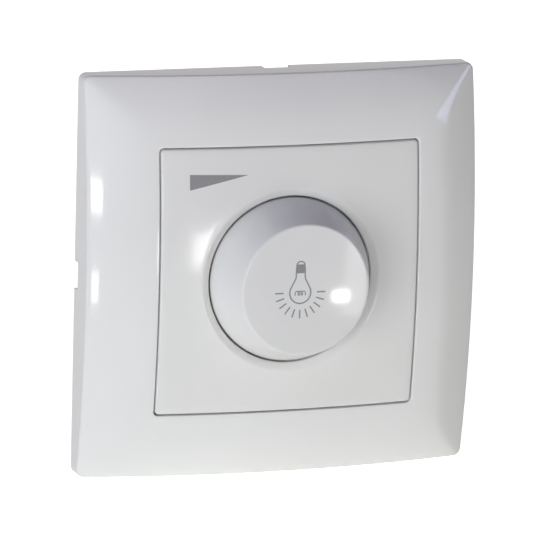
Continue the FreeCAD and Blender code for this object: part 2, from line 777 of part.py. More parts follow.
def mounting_bracket():
    body = new_body("mounting_bracket")
    plate = square(wall_sketch(body, BRACKET_FRONT), "bracket_width / 2")
    pad(body, plate, BRACKET_FRONT, "0")
    soften(body, "Fillet", lambda e: runs_along(e, Vector(0, 1, 0)), "bracket_corner")
    holes = circle(wall_sketch(body, BRACKET_FRONT), "pad_radius + clear_gap")
    for x, z in BRACKET_SCREWS:
        circle(holes, "small_screw_radius + clear_gap", x, z)
    for side in ("0 - claw_screw_x", "claw_screw_x"):
        circle(holes, "claw_screw_radius + clear_gap", side)
    pocket(body, holes, BRACKET_FRONT, "0")
    reach = "( slot_length - slot_width ) / 2"
    ends = [f"box_pitch / 2 - {reach}", f"box_pitch / 2 + {reach}"]
    run = rectangle(wall_sketch(body, BRACKET_FRONT), ends[0], ends[1], "0 - slot_width / 2",
                    "slot_width / 2")
    cuts = [pocket(body, run, BRACKET_FRONT, "0")]
    for end in ends:
        tip = circle(wall_sketch(body, BRACKET_FRONT), "slot_width / 2", end)
        cuts.append(pocket(body, tip, BRACKET_FRONT, "0"))
    pattern(body, cuts, "4")
    keep("mounting_bracket", body)
    screws = [wall_screw(f"bracket_screw{k}", "small_screw_radius", "small_head_radius",
                         BRACKET_FRONT, "small_head", "bracket_screw_length", x, z)
              for k, (x, z) in enumerate(BRACKET_SCREWS)]
    keep("bracket_screws", group("bracket_screw_set", *screws))


# Module housing: round body with four flats, in a front and a rear half

def module_outline(name, front, back, inset="0", half="module_side"):
    """Disc with flats, drawn in by an inset."""
    disc = rod(name + "_disc", f"module_radius - {inset}", front, back)
    flats = block(name + "_flats", f"{inset} - {half}", f"{half} - {inset}", front, back,
                  f"{inset} - module_bottom", f"module_top - {inset}")
    return common(name, disc, flats)


def housing_front():
    outer = fuse("front_outer", module_outline("front_body", "0", "front_depth"),
                 rod("front_pad", "pad_radius", BRACKET_FRONT, "0"),
                 rod("front_tower", "tower_radius", TOWER_FRONT, "0"))
    cavity = common("front_cavity",
                    rod("front_cavity_disc", "module_radius - housing_wall", "front_skin",
                        "front_depth"),
                    block("front_cavity_block", "0 - front_cavity_half", "front_cavity_half",
                          "front_skin", "front_depth", "housing_wall - module_bottom",
                          "module_top - housing_wall - 2 * boss_radius"))
    bore = rod("front_bore", "bushing_radius + running_gap", f"{TOWER_FRONT} - overcut",
               "front_skin + overcut")
    tools = [cavity, bore]
    for k, (x, z) in enumerate(BRACKET_SCREWS):
        tools.append(rod(f"front_hole{k}", "small_screw_radius + running_gap", BRACKET_FRONT,
                         f"{BRACKET_FRONT} + bracket_screw_length + running_gap", x, z))
    for k, (x, z) in enumerate(HOUSING_SCREWS):
        tools.append(rod(f"front_tap{k}", "small_screw_radius + running_gap",
                         "front_depth - housing_screw_reach - running_gap", "front_depth", x, z))
    inner = f"( {CLAW_PIVOT_X} - claw_sheet / 2 - 2 * clear_gap )"
    back = "claw_front + claw_sheet + 2 * clear_gap"
    outside = "module_side + overcut"
    tools.append(block("front_notch_right", inner, outside, "0", back, "0 - notch_width / 2",
                       "notch_width / 2"))
    tools.append(block("front_notch_left", f"0 - ( {outside} )", f"0 - {inner}", "0", back,
                       "0 - notch_width / 2", "notch_width / 2"))
    keep("housing_front", cut("housing_front_half", outer, *tools))


TERMINAL_X = ["( 0 - terminal_pitch )", "0", "terminal_pitch"]
TERMINAL_Y = "( module_depth - terminal_depth )"
CAGE_LOW = f"( {BAR_BOTTOM} - 2 * clear_gap - cage_wall )"
CAGE_HIGH = f"( {CAGE_LOW} + 2 * cage_wall + cage_inside )"
CELL_LOW = f"( {CAGE_LOW} - cage_travel - 2 * clear_gap )"
CELL_HIGH = f"( {CAGE_HIGH} + 2 * clear_gap )"
CELL_BACK = f"( {TERMINAL_Y} + cage_length / 2 + 2 * clear_gap )"
SCREW_LOW = "( 0 - module_bottom + clear_gap )"


def housing_rear():
    outer = module_outline("rear_body", "front_depth", "module_depth")
    cavity = module_outline("rear_cavity", "front_depth", REAR_INSIDE, "housing_wall")
    side = "( terminal_pitch + cell_width / 2 + housing_wall )"
    solid = [block("terminal_block", f"0 - {side}", side, BOARD_BACK, "module_depth",
                   "0 - module_bottom", f"{CELL_HIGH} + housing_wall")]
    for k, (x, z) in enumerate(HOUSING_SCREWS):
        solid.append(rod(f"rear_boss{k}", "boss_radius", "front_depth", "module_depth", x, z))
    room = cut("rear_room", cavity, *solid)
    tools = [room]
    for k, x in enumerate(TERMINAL_X, start=1):
        tools.append(block(f"cell{k}", f"{x} - cell_width / 2", f"{x} + cell_width / 2",
                           BOARD_BACK, CELL_BACK, CELL_LOW, CELL_HIGH))
        tools.append(upright(f"driver_hole{k}", "terminal_head_radius + clear_gap",
                             "0 - module_bottom - overcut", CELL_LOW, x, TERMINAL_Y))
        tools.append(block(f"wire_hole{k}", f"{x} - wire_entry / 2", f"{x} + wire_entry / 2",
                           CELL_BACK, "module_depth", BAR_TOP, f"{BAR_TOP} + wire_entry"))
    for k, (x, z) in enumerate(HOUSING_SCREWS):
        tools.append(rod(f"rear_hole{k}", "small_screw_radius + clear_gap", "front_depth",
                         "module_depth", x, z))
        tools.append(rod(f"rear_sink{k}", "small_head_radius + clear_gap",
                         "module_depth - small_head", "module_depth", x, z))
    keep("housing_rear", cut("housing_rear_half", outer, *tools))
    seat = "( module_depth - small_head )"
    length = f"( {seat} - front_depth + housing_screw_reach )"
    screws = [wall_screw(f"housing_screw{k}", "small_screw_radius", "small_head_radius", seat,
                         "small_head", length, x, z, side=-1)
              for k, (x, z) in enumerate(HOUSING_SCREWS)]
    keep("housing_screws", group("housing_screw_set", *screws))


# Terminals: a fixed bar, a rising cage and a captive screw for each wire

def terminals():
    bars = []
    front = f"( {TERMINAL_Y} - cage_length / 2 )"
    back = f"( {TERMINAL_Y} + cage_length / 2 )"
    for k, x in enumerate(TERMINAL_X, start=1):
        bars.append(block(f"bar{k}", f"{x} - bar_width / 2", f"{x} + bar_width / 2",
                          "board_front", back, BAR_BOTTOM, BAR_TOP))
        outside = block(f"cage_outside{k}", f"{x} - cage_width / 2", f"{x} + cage_width / 2",
                        front, back, CAGE_LOW, CAGE_HIGH)
        inside = block(f"cage_inside{k}", f"{x} - cage_width / 2 + cage_wall",
                       f"{x} + cage_width / 2 - cage_wall", f"{front} - overcut", f"{back} + overcut",
                       f"{CAGE_LOW} + cage_wall", f"{CAGE_HIGH} - cage_wall")
        hole = upright(f"cage_hole{k}", "terminal_screw_radius + running_gap", f"{CAGE_LOW} - overcut",
                       f"{CAGE_LOW} + cage_wall + overcut", x, TERMINAL_Y)
        keep(f"terminal_clamp_{k}", cut(f"cage{k}", outside, inside, hole))
        head = upright(f"terminal_head{k}", "terminal_head_radius", SCREW_LOW,
                       f"{SCREW_LOW} + terminal_head", x, TERMINAL_Y)
        shank = upright(f"terminal_shank{k}", "terminal_screw_radius", SCREW_LOW,
                        f"{BAR_BOTTOM} - running_gap", x, TERMINAL_Y)
        slot = block(f"terminal_slot{k}", f"{x} - terminal_head_radius",
                     f"{x} + terminal_head_radius", f"{TERMINAL_Y} - terminal_slot / 2",
                     f"{TERMINAL_Y} + terminal_slot / 2", SCREW_LOW,
                     f"{SCREW_LOW} + terminal_head / 2")
        keep(f"terminal_screw_{k}", cut(f"terminal_fastener{k}",
                                        fuse(f"terminal_blank{k}", head, shank), slot))
    keep("terminal_bars", group("terminal_bar_set", *bars))


# Circuit board, cut to clear the screw bosses, the shaft, the bars and the pins

PIN_X = ["( 0 - pot_radius / 2 )", "0", "( pot_radius / 2 )"]


def pins(name, slack):
    """Three flat pins below the potentiometer, or their holes when given a slack."""
    across = f"( pin_width / 2 + {slack} )"
    low = f"0 - pin_drop - pin_thickness / 2 - {slack}"
    high = f"pin_thickness / 2 + {slack} - pin_drop"
    return [block(f"{name}{k}", f"{x} - {across}", f"{x} + {across}", f"{POT_BACK} - pot_wall",
                  BOARD_BACK, low, high)
            for k, x in enumerate(PIN_X)]


def contact_strips(name, slack):
    """Two contact strips beside the switch plunger, or their slots when given a slack."""
    near = f"( plunger_radius + 2 * running_gap - 2 * {slack} )"
    far = f"( plunger_radius + 2 * running_gap + strip_thickness + {slack} )"
    front = "( board_front - clear_gap )"
    back = f"( {PLUNGER_BACK} + {slack} )"
    high = f"( strip_width / 2 + {slack} )"
    return [block(name + "_right", near, far, front, back, f"0 - {high}", high),
            block(name + "_left", f"0 - {far}", f"0 - {near}", front, back, f"0 - {high}", high)]


def circuit_board():
    board = module_outline("board_sheet", "board_front", BOARD_BACK, "( housing_wall + board_gap )")
    tools = [rod("board_hole", "shaft_radius + 2 * clear_gap", "board_front - overcut",
                 f"{BOARD_BACK} + overcut")]
    for k, (x, z) in enumerate(HOUSING_SCREWS):
        tools.append(rod(f"board_clear{k}", "boss_radius + board_gap", "board_front - overcut",
                         f"{BOARD_BACK} + overcut", x, z))
    for k, x in enumerate(TERMINAL_X, start=1):
        tools.append(block(f"board_slot{k}", f"{x} - bar_width / 2 - running_gap",
                           f"{x} + bar_width / 2 + running_gap", "board_front - overcut",
                           f"{BOARD_BACK} + overcut", f"{BAR_BOTTOM} - running_gap",
                           f"{BAR_TOP} + running_gap"))
    tools += pins("board_pin", "running_gap") + contact_strips("board_strip", "running_gap")
    keep("circuit_board", cut("circuit_board_sheet", board, *tools))


# Potentiometer: case crimped to the bushing, resistance track, rotor and wiper leaf

def flatted_bore(name, front, back):
    """Tool for a bore that fits the flatted shaft."""
    flat = block(name + "_key", "0 - shaft_radius - overcut", "shaft_radius + overcut", f"{front} - overcut",
                 f"{back} + overcut", "shaft_radius - shaft_flat + running_gap", "shaft_radius + overcut")
    return cut(name, rod(name + "_round", "shaft_radius + running_gap", front, back), flat)


def potentiometer():
    cup = rod("pot_cup", "pot_radius", FLANGE_BACK, POT_BACK)
    room = rod("pot_room", "pot_radius - pot_wall", FLANGE_BACK, f"{POT_BACK} - pot_wall")
    hole = rod("pot_hole", "shaft_radius + 2 * clear_gap", FLANGE_BACK, f"{POT_BACK} + overcut")
    keep("potentiometer_case", cut("pot_case", cup, room, hole, *pins("pot_slot", "running_gap")))
    keep("potentiometer_pins", group("pot_pin_set", *pins("pot_pin", "0")))
    disc = rod("track_disc", "pot_radius - pot_wall - clear_gap", TRACK_FRONT,
               f"{POT_BACK} - pot_wall")
    keep("resistance_track", cut("track", disc, rod("track_hole", "leaf_root", f"{TRACK_FRONT} - overcut",
                                                    f"{POT_BACK}")))
    front = f"( {FLANGE_BACK} + running_gap )"
    collar = rod("rotor_collar_rod", "rotor_collar", front, ROTOR_BACK)
    disc = rod("rotor_disc", "rotor_radius", f"{front} + collar_length", ROTOR_BACK)
    bore = flatted_bore("rotor_bore", f"{front} - overcut", f"{ROTOR_BACK} + overcut")
    keep("wiper_rotor", cut("rotor", fuse("rotor_blank", collar, disc), bore))
    leaf = new_body("wiper_contact")
    tip = f"( {TRACK_FRONT} - running_gap )"
    strip = outline(sketch_on(leaf, "YZ_Plane"), [
        (ROTOR_BACK, "leaf_root"), (ROTOR_BACK, "leaf_bend"), (tip, "leaf_tip"),
        (tip, "leaf_tip - leaf_thickness"), (f"{ROTOR_BACK} + leaf_thickness",
                                             "leaf_bend - 2 * leaf_thickness"),
        (f"{ROTOR_BACK} + leaf_thickness", "leaf_root")])
    blade = feature(leaf, "Pad", strip, Length="leaf_width")
    blade.Midplane = True
    keep("wiper_contact", leaf)


# Push switch behind the board: case, plunger, contact strips and return spring

def push_switch():
    case = block("switch_block", "0 - switch_width / 2", "switch_width / 2", BOARD_BACK,
                 SWITCH_BACK, "0 - switch_height / 2", "switch_height / 2")
    bore = rod("switch_bore", "plunger_radius + running_gap", BOARD_BACK,
               f"{SWITCH_BACK} - switch_wall")
    keep("switch_case", cut("switch_body", case, bore, *contact_strips("case_slot",
                                                                       "running_gap")))
    keep("switch_contacts", group("contact_set", *contact_strips("strip", "0")))
    head = rod("plunger_head", "plunger_radius", PLUNGER_FRONT, PLUNGER_BACK)
    stem = rod("plunger_stem", "stem_radius", PLUNGER_FRONT, f"{PLUNGER_BACK} + stem_length")
    keep("switch_plunger", fuse("plunger", head, stem))
    start = f"( {SWITCH_BACK} - switch_wall - spring_wire - running_gap )"
    coil = doc.addObject("Part::Helix", "spring_line")
    coil.Placement = Placement(Vector(), Rotation(Vector(1, 0, 0), 90))
    bind(coil, Radius="spring_radius", Pitch="spring_pitch",
         Height=f"{start} - {PLUNGER_BACK} - spring_wire - running_gap", Placement__Base__y=start)
    wire = doc.addObject("Part::Circle", "spring_section")
    bind(wire, Radius="spring_wire", Placement__Base__x="spring_radius",
         Placement__Base__y=start)
    spring = doc.addObject("Part::Sweep", "spring")
    spring.Sections = [wire]
    spring.Spine = (coil, [])
    spring.Solid = True
    spring.Frenet = True
    keep("return_spring", spring)


# Other parts on the board

def board_parts():
    for name, outer, inner in (("choke_core", "choke_core", None),
                               ("choke_winding", "choke_core + choke_winding",
                                "choke_core + running_gap")):
        rings = []
        for radius in filter(None, (outer, inner)):
            ring = doc.addObject("Part::Torus", name + "_ring")
            ring.Placement = Placement(Vector(), Rotation(Vector(1, 0, 0), 90))
            bind(ring, Radius1="choke_radius", Radius2=radius, Placement__Base__x="0 - choke_x",
                 Placement__Base__y=f"{BOARD_BACK} + choke_core + choke_winding + running_gap",
                 Placement__Base__z="choke_z")
            rings.append(ring)
        keep(name, rings[0] if inner is None else cut(name + "_sleeve", *rings))
    keep("film_capacitor", block("film", "film_left", "film_left + film_length", BOARD_BACK,
                                 f"{BOARD_BACK} + film_depth", "film_low",
                                 "film_low + film_height"))
    keep("electrolytic_capacitor", rod("tall_can", "tall_radius", BOARD_BACK,
                                       f"{BOARD_BACK} + tall_depth", "tall_x", "tall_z"))
    face = "( board_front - triac_thickness )"
    left = "( 0 - triac_left )"
    middle = "( ( 0 - sink_low - sink_high ) / 2 )"
    low = f"{middle} - triac_width / 2"
    high = f"{middle} + triac_width / 2"
    hole_x = f"( {left} + triac_tab / 2 )"
    tab = block("triac_tab_plate", left, f"{left} + triac_tab", face,
                f"{face} + triac_tab_thickness", low, high)
    hole = rod("triac_hole", "terminal_screw_radius + running_gap", f"{face} - overcut",
               f"{face} + triac_tab_thickness + overcut", hole_x, middle)
    moulding = block("triac_moulding", f"{left} + triac_tab", f"{left} + triac_tab + triac_body",
                     face, "board_front", low, high)
    keep("triac", cut("triac_package", fuse("triac_blank", tab, moulding), hole))
    sink = block("sink_plate", "0 - sink_half", "sink_half", f"{face} - sink_thickness", face,
                 "0 - sink_low", "0 - sink_high")
    sink_hole = rod("sink_hole", "terminal_screw_radius + running_gap",
                    f"{face} - sink_thickness - overcut", f"{face} + overcut", hole_x, middle)
    keep("heat_sink", cut("heat_sink_plate", sink, sink_hole))
    keep("triac_screw", wall_screw("triac_fastener", "terminal_screw_radius",
                                   "small_head_radius", f"( {face} + triac_tab_thickness )",
                                   "small_head", "triac_screw_length", hole_x, middle, side=-1))

    fuse_y = "( board_front - fuse_radius - 2 * clip_wall )"

    def lying(name, radius, left, right):
        """Cylinder along X on the fuse's axis."""
        thing = doc.addObject("Part::Cylinder", name)
        thing.Placement = Placement(Vector(), Rotation(Vector(0, 1, 0), 90))
        bind(thing, Radius=radius, Height=f"( {right} ) - ( {left} )", Placement__Base__x=left,
             Placement__Base__y=fuse_y, Placement__Base__z="fuse_z")
        return thing

    keep("fuse", lying("fuse_tube", "fuse_radius", "0 - fuse_length / 2", "fuse_length / 2"))
    clips = []
    for k, (a, b) in enumerate((("0 - fuse_length / 2", "0 - fuse_length / 2 + clip_length"),
                                ("fuse_length / 2 - clip_length", "fuse_length / 2"))):
        reach = "( fuse_radius + clip_wall )"
        cheek = block(f"clip_cheek{k}", a, b, f"{fuse_y} - fuse_radius / 2", "board_front",
                      f"fuse_z - {reach}", f"fuse_z + {reach}")
        mouth = block(f"clip_mouth{k}", f"{a} - overcut", f"{b} + overcut", f"{fuse_y} - fuse_radius",
                      fuse_y, "fuse_z - fuse_radius", "fuse_z + fuse_radius")
        clips.append(cut(f"clip{k}", cheek, mouth,
                         lying(f"clip_bore{k}", "fuse_radius + running_gap", f"{a} - overcut",
                               f"{b} + overcut")))
    keep("fuse_clips", group("clip_set", *clips))
    lie = "( board_front - resistor_radius - running_gap )"
    low = "0 - resistor_length / 2"
    resistors = [upright(f"resistor{k}", "resistor_radius", low, "resistor_length / 2",
                         f"resistor_x + {k} * resistor_pitch", lie) for k in range(2)]
    resistors.append(upright("resistor2", "resistor_radius", low, "resistor_length / 2",
                             "0 - resistor_x", lie))
    keep("resistors", group("resistor_set", *resistors))
    keep("diac", upright("diac_tube", "diac_radius", "0 - diac_length / 2", "diac_length / 2",
                         "0 - resistor_x - resistor_pitch", lie))


# Claws that grip the wall box: folded sheet, hinged on a rounded heel in the housing's notch

def claws():
    pivot_x, pivot_y = CLAW_PIVOT_X, CLAW_PIVOT_Y
    for name, sign, axis in (("right", "", 1), ("left", "0 - ", -1)):
        body = new_body("claw_" + name)

        def across(text):
            return f"{sign}( {text} )"

        leg = "( claw_outside - claw_sheet )"
        back = "( claw_front + claw_sheet )"
        tooth = "( claw_reach - 2 * claw_sheet )"
        strip = outline(sketch_on(body, "XY_Plane"), [
            (across(pivot_x), "claw_front"), (across("claw_outside"), "claw_front"),
            (across("claw_outside"), tooth), (across("claw_outside + claw_sheet / 2"), "claw_reach"),
            (across(leg), "claw_reach"), (across(leg), back), (across(pivot_x), back)])
        sheet_metal = feature(body, "Pad", strip, Length="claw_width")
        sheet_metal.Midplane = True
        heel = circle(sketch_on(body, "XY_Plane"), "claw_sheet / 2", across(pivot_x), pivot_y)
        roll = feature(body, "Pad", heel, Length="claw_width")
        roll.Midplane = True
        inner = f"{pivot_x} + claw_arm - claw_screw_radius - claw_slot_in + clear_gap"
        outer = f"{pivot_x} + claw_arm + claw_slot_out"
        ends = (inner, outer) if axis > 0 else (outer, inner)
        slot = rectangle(wall_sketch(body, "claw_front"), across(ends[0]), across(ends[1]),
                         "0 - claw_slot_width / 2", "claw_slot_width / 2")
        pocket(body, slot, "claw_front", back)
        nick = rectangle(wall_sketch(body, tooth), across("claw_outside - claw_sheet - overcut"),
                         across("claw_outside + claw_sheet"), "0 - claw_width / 8",
                         "claw_width / 8")
        pocket(body, nick, tooth, "claw_reach")
        keep("claw_" + name, body)
        keep("claw_screw_" + name, wall_screw("claw_fastener_" + name, "claw_screw_radius",
                                              "claw_head_radius", BRACKET_FRONT, "claw_head",
                                              "claw_screw_length", across("claw_screw_x"), "0"))


for build in (cover_frame, center_plate, knob, shaft, bushing, bushing_nut, lock_washer,
              mounting_bracket, housing_front, housing_rear, terminals, circuit_board,
              potentiometer, push_switch, board_parts, claws):
    build()
doc.recompute()

faults = [thing.Label for thing in doc.Objects
          if "Invalid" in thing.State or "Error" in thing.State]
for name, thing in PARTS.items():
    shape = thing.Shape
    if shape.isNull() or not shape.isValid() or not shape.Solids:
        faults.append(name)
if faults:
    raise RuntimeError("failed: " + ", ".join(sorted(set(faults))))

os.makedirs("parts", exist_ok=True)
for name, thing in PARTS.items():
    thing.Shape.exportStep(f"parts/{name}.step")
    print(f"{name}: {len(thing.Shape.Solids)} solids, {thing.Shape.Volume:.1f} mm3")
print(len(PARTS), "pieces")
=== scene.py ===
# %% [markdown]
# # A rotary dimmer switch
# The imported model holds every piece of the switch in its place: the cover frame, the plate and
# the knob in the room, and the bracket and module that sit in the wall. This lesson dresses it.
# It sets up a camera and soft lights, gives each material its finish, rebuilds the three glossy
# mouldings with smooth skins, prints the signs, and winds two threads and a spring.

import json
import math

import bmesh
import bpy
import numpy as np
from mathutils import Matrix, Vector


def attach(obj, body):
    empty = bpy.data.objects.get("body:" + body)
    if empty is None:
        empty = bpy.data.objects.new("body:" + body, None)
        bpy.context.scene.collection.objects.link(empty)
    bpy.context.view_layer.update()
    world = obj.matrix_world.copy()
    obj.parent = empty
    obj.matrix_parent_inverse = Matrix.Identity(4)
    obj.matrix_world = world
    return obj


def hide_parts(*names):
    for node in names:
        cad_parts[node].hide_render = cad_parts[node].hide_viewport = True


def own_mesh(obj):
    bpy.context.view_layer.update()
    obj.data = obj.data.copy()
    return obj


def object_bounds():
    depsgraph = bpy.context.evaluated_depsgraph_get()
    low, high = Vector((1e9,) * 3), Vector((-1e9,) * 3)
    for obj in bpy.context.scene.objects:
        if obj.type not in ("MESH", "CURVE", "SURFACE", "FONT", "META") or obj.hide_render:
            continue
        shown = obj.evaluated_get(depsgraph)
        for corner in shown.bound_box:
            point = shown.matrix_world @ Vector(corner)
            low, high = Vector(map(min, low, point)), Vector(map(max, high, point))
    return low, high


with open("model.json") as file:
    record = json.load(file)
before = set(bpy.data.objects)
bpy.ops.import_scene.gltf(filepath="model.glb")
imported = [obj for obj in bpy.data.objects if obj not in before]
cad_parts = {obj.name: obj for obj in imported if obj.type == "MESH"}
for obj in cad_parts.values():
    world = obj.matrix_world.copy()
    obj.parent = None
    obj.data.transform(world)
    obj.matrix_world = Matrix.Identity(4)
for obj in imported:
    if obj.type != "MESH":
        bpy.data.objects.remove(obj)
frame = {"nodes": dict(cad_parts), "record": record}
NODES = frame["nodes"]
cad_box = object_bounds()
MM = 0.001
print("CAD box in mm:", [[round(v / MM, 2) for v in corner] for corner in cad_box])

# %% [markdown]
# ## The camera
# The photograph was taken from a little to the left and a little above, from far away with a
# long lens: the far side of the frame is hardly smaller than the near side. A turn, a height,
# a roll and a distance place the camera, so it is written with those four numbers rather than
# with a matrix. The small slide across keeps the object off centre, as it is in the picture.

# %% Place the camera
AZIMUTH, ELEVATION, ROLL = (math.radians(angle) for angle in (-18.733, 12.739, -1.559))
DISTANCE, ASIDE, ABOVE = 1165.466, 0.571, -1.351
SENSOR, FOCAL_SHARE = 36.0, 10.608


def towards(azimuth, elevation):
    """Unit vector from the object to a place round it; azimuth 0 is the room straight ahead."""
    flat = math.cos(elevation)
    return Vector((math.sin(azimuth) * flat, -math.cos(azimuth) * flat, math.sin(elevation)))


back = towards(AZIMUTH, ELEVATION)
level = Vector((math.cos(AZIMUTH), math.sin(AZIMUTH), 0))
upright = back.cross(level)
right = math.cos(ROLL) * level - math.sin(ROLL) * upright
up = math.sin(ROLL) * level + math.cos(ROLL) * upright

scene = bpy.context.scene
camera = bpy.data.objects.new("camera", bpy.data.cameras.new("camera"))
scene.collection.objects.link(camera)
camera.data.sensor_width = SENSOR
camera.data.lens = SENSOR * FOCAL_SHARE
camera.data.clip_end = 20
spot = (DISTANCE * back + ASIDE * right + ABOVE * up) * MM
camera.matrix_world = Matrix.Translation(spot) @ Matrix((right, up, back)).transposed().to_4x4()
scene.camera = camera
scene.view_settings.view_transform = "Standard"
print("camera at", [round(v, 3) for v in spot], "m, lens", round(camera.data.lens, 1), "mm")

# %% [markdown]
# ## Small helpers
# Colours are picked as sRGB hex values, and Blender's shaders want linear light, so one
# function converts them. Another adds one node of any kind with its settings and its links.
# Both keep the later cells short.


# %% Colours and nodes
def linear(code):
    """Linear colour of an sRGB hex value."""
    parts = [int(code[k:k + 2], 16) / 255 for k in (1, 3, 5)]
    curved = [c / 12.92 if c <= 0.04045 else ((c + 0.055) / 1.055) ** 2.4 for c in parts]
    return [*curved, 1.0]


def add(tree, kind, inputs=(), **settings):
    """Add one node; an input is a value or another node's socket."""
    made = tree.nodes.new(kind)
    for name, value in settings.items():
        setattr(made, name, value)
    for key, value in (inputs.items() if isinstance(inputs, dict) else enumerate(inputs)):
        if isinstance(value, bpy.types.NodeSocket):
            tree.links.new(value, made.inputs[key])
        elif value is not None:
            made.inputs[key].default_value = value
    return made


print("white reads", [round(v, 3) for v in linear("#E8E9EE")])

# %% [markdown]
# ## Floor and background
# The picture has a pure white ground, so the world is white for the camera, and for mirror
# rays too, because gloss wants a white room to show. The light that it sheds is faint and
# lilac: in the picture the light comes nearly all from the front and from below. The floor is
# pale, adds its white for the camera alone, and still takes the object's shadow. Lamps under
# the floor may shine through it: it casts no shadow and no mirror image, but it does bounce
# soft light.

# %% Build the stage
WORLD_LIGHT, WHITE_ROOM = 0.105, 0.8
world = bpy.data.worlds.new("studio")
world.use_nodes = True
scene.world = world
tree = world.node_tree
tree.nodes.clear()
path = add(tree, "ShaderNodeLightPath")
shed = add(tree, "ShaderNodeBackground", {"Color": linear("#E2C8FF"), "Strength": WORLD_LIGHT})
room = add(tree, "ShaderNodeBackground", {"Color": linear("#FFFBF5"), "Strength": WHITE_ROOM})
ground = add(tree, "ShaderNodeBackground", {"Color": linear("#FFFFFF"), "Strength": 1.0})
gloss = add(tree, "ShaderNodeMath", [path.outputs["Is Glossy Ray"],
                                     path.outputs["Is Transmission Ray"]], operation="MAXIMUM")
first = add(tree, "ShaderNodeMixShader", [gloss.outputs[0], shed.outputs[0], room.outputs[0]])
both = add(tree, "ShaderNodeMixShader", [path.outputs["Is Camera Ray"], first.outputs[0],
                                         ground.outputs[0]])
add(tree, "ShaderNodeOutputWorld", [both.outputs[0]])

floor = bpy.data.objects.new("floor", bpy.data.meshes.new("floor"))
half, low = 3.0, cad_box[0].z
floor.data.from_pydata([(x, y, low) for x, y in ((-half, -half), (half, -half), (half, half),
                                                 (-half, half))], [], [(0, 1, 2, 3)])
scene.collection.objects.link(floor)
floor.visible_shadow = False
floor.visible_glossy = False
paper = bpy.data.materials.new("pale_studio_paper")
paper.use_nodes = True
tree = paper.node_tree
tree.nodes.clear()
path = add(tree, "ShaderNodeLightPath")
matt = add(tree, "ShaderNodeBsdfDiffuse", {"Color": linear("#EDEEF0")})
glow = add(tree, "ShaderNodeEmission", {"Color": linear("#FFFFFF"), "Strength": 0.9})
clear = add(tree, "ShaderNodeEmission", {"Color": linear("#FFFFFF"), "Strength": 0.0})
pick = add(tree, "ShaderNodeMixShader", [path.outputs["Is Camera Ray"], clear.outputs[0],
                                         glow.outputs[0]])
total = add(tree, "ShaderNodeAddShader", [matt.outputs[0], pick.outputs[0]])
add(tree, "ShaderNodeOutputMaterial", [total.outputs[0]])
floor.data.materials.append(paper)
print("floor at z", round(low / MM, 1), "mm")

# %% [markdown]
# ## Lights
# Two kinds of lamp stand round the object. Soft ones only shade it: gloss doesn't show them,
# so the dome keeps even greys, brightest low on the left. Windows and small lamps show only
# in the gloss, so each can be placed for its own patch. Following the camera's ray to a bright
# patch and turning it over at the surface tells where its lamp stands: two window panes on the
# left make the streaks on the frame, a lamp near the middle the patch beside the cup, a small
# one the spot on the knob, a pale pane the lighter right side of its face, and a tall cool
# window on the right the lens in the upper corner. The soft lamp on the left is a metre wide,
# so the knob throws only a faint shadow on the plate.


# %% Place the lamps
def lamp(name, azimuth, elevation, distance, size, power, colour="#FFFFFF", mirrored=True,
         lean=0.0):
    """Area lamp that faces the object from a place round it."""
    data = bpy.data.lights.new(name, "AREA")
    data.shape = "RECTANGLE"
    data.size, data.size_y = size
    data.energy = power
    data.color = linear(colour)[:3]
    thing = bpy.data.objects.new(name, data)
    scene.collection.objects.link(thing)
    way = towards(math.radians(azimuth), math.radians(elevation))
    thing.location = way * distance
    thing.rotation_euler = way.to_track_quat("Z", "Y").to_euler()
    thing.rotation_euler.rotate_axis("Z", math.radians(-lean))
    thing.visible_glossy = mirrored
    thing.visible_diffuse = not mirrored
    return thing


lamp("window_softbox", -45, -7, 1.6, (1.0, 0.9), 14.0, mirrored=False)
lamp("front_softbox", -10, 10, 1.8, (0.8, 0.8), 5.7, "#E7F3FF", mirrored=False)
lamp("side_softbox", -85, 10, 1.5, (0.7, 1.0), 3.6, "#EAFFF5", mirrored=False)
lamp("warm_table", 0, -30, 1.6, (0.6, 0.6), 5.2, "#FFF3C7", mirrored=False)
lamp("low_right_softbox", 45, -38, 1.5, (0.8, 0.8), 3.8, "#EBFFEB", mirrored=False)
lamp("rear_softbox", 170, 30, 1.6, (1.0, 0.8), 9.0, mirrored=False)
lamp("upper_window_pane", -40.2, -2.3, 1.6, (0.24, 0.115), 0.78)
lamp("lower_window_pane", -40.5, -13, 1.6, (0.13, 0.1), 0.33)
lamp("small_front_lamp", 7.6, -8.5, 1.6, (0.13, 0.13), 0.48)
lamp("knob_lamp", 22.25, -13.35, 1.6, (0.041, 0.026), 0.09)
lamp("pale_right_pane", 23.7, -11.6, 1.6, (0.066, 0.2), 0.085)
lamp("cool_right_window", 59.5, 21, 1.8, (0.38, 1.15), 4.5, "#C8D6FF", lean=35)

# %% [markdown]
# ## Finishes
# A finish is a base colour plus what the making of the part leaves behind: pigment that is
# not quite even, a moulded skin that is not quite flat, zinc that grows in patches. One
# function makes the Principled shader, and one lays a pattern of a real size over its colour,
# its gloss and its relief. All patterns read Object coordinates, so they stay on the piece.


# %% The two finish functions
def finish(name, colour, roughness, metallic=0.0, **others):
    """New material with a Principled shader whose even values sit on its own sockets."""
    material = bpy.data.materials.new(name)
    material.use_nodes = True
    shader = material.node_tree.nodes["Principled BSDF"]
    shader.inputs["Base Color"].default_value = linear(colour)
    shader.inputs["Roughness"].default_value = roughness
    shader.inputs["Metallic"].default_value = metallic
    for key, value in others.items():
        shader.inputs[key.replace("_", " ")].default_value = value
    material.diffuse_color = linear(colour)
    return material


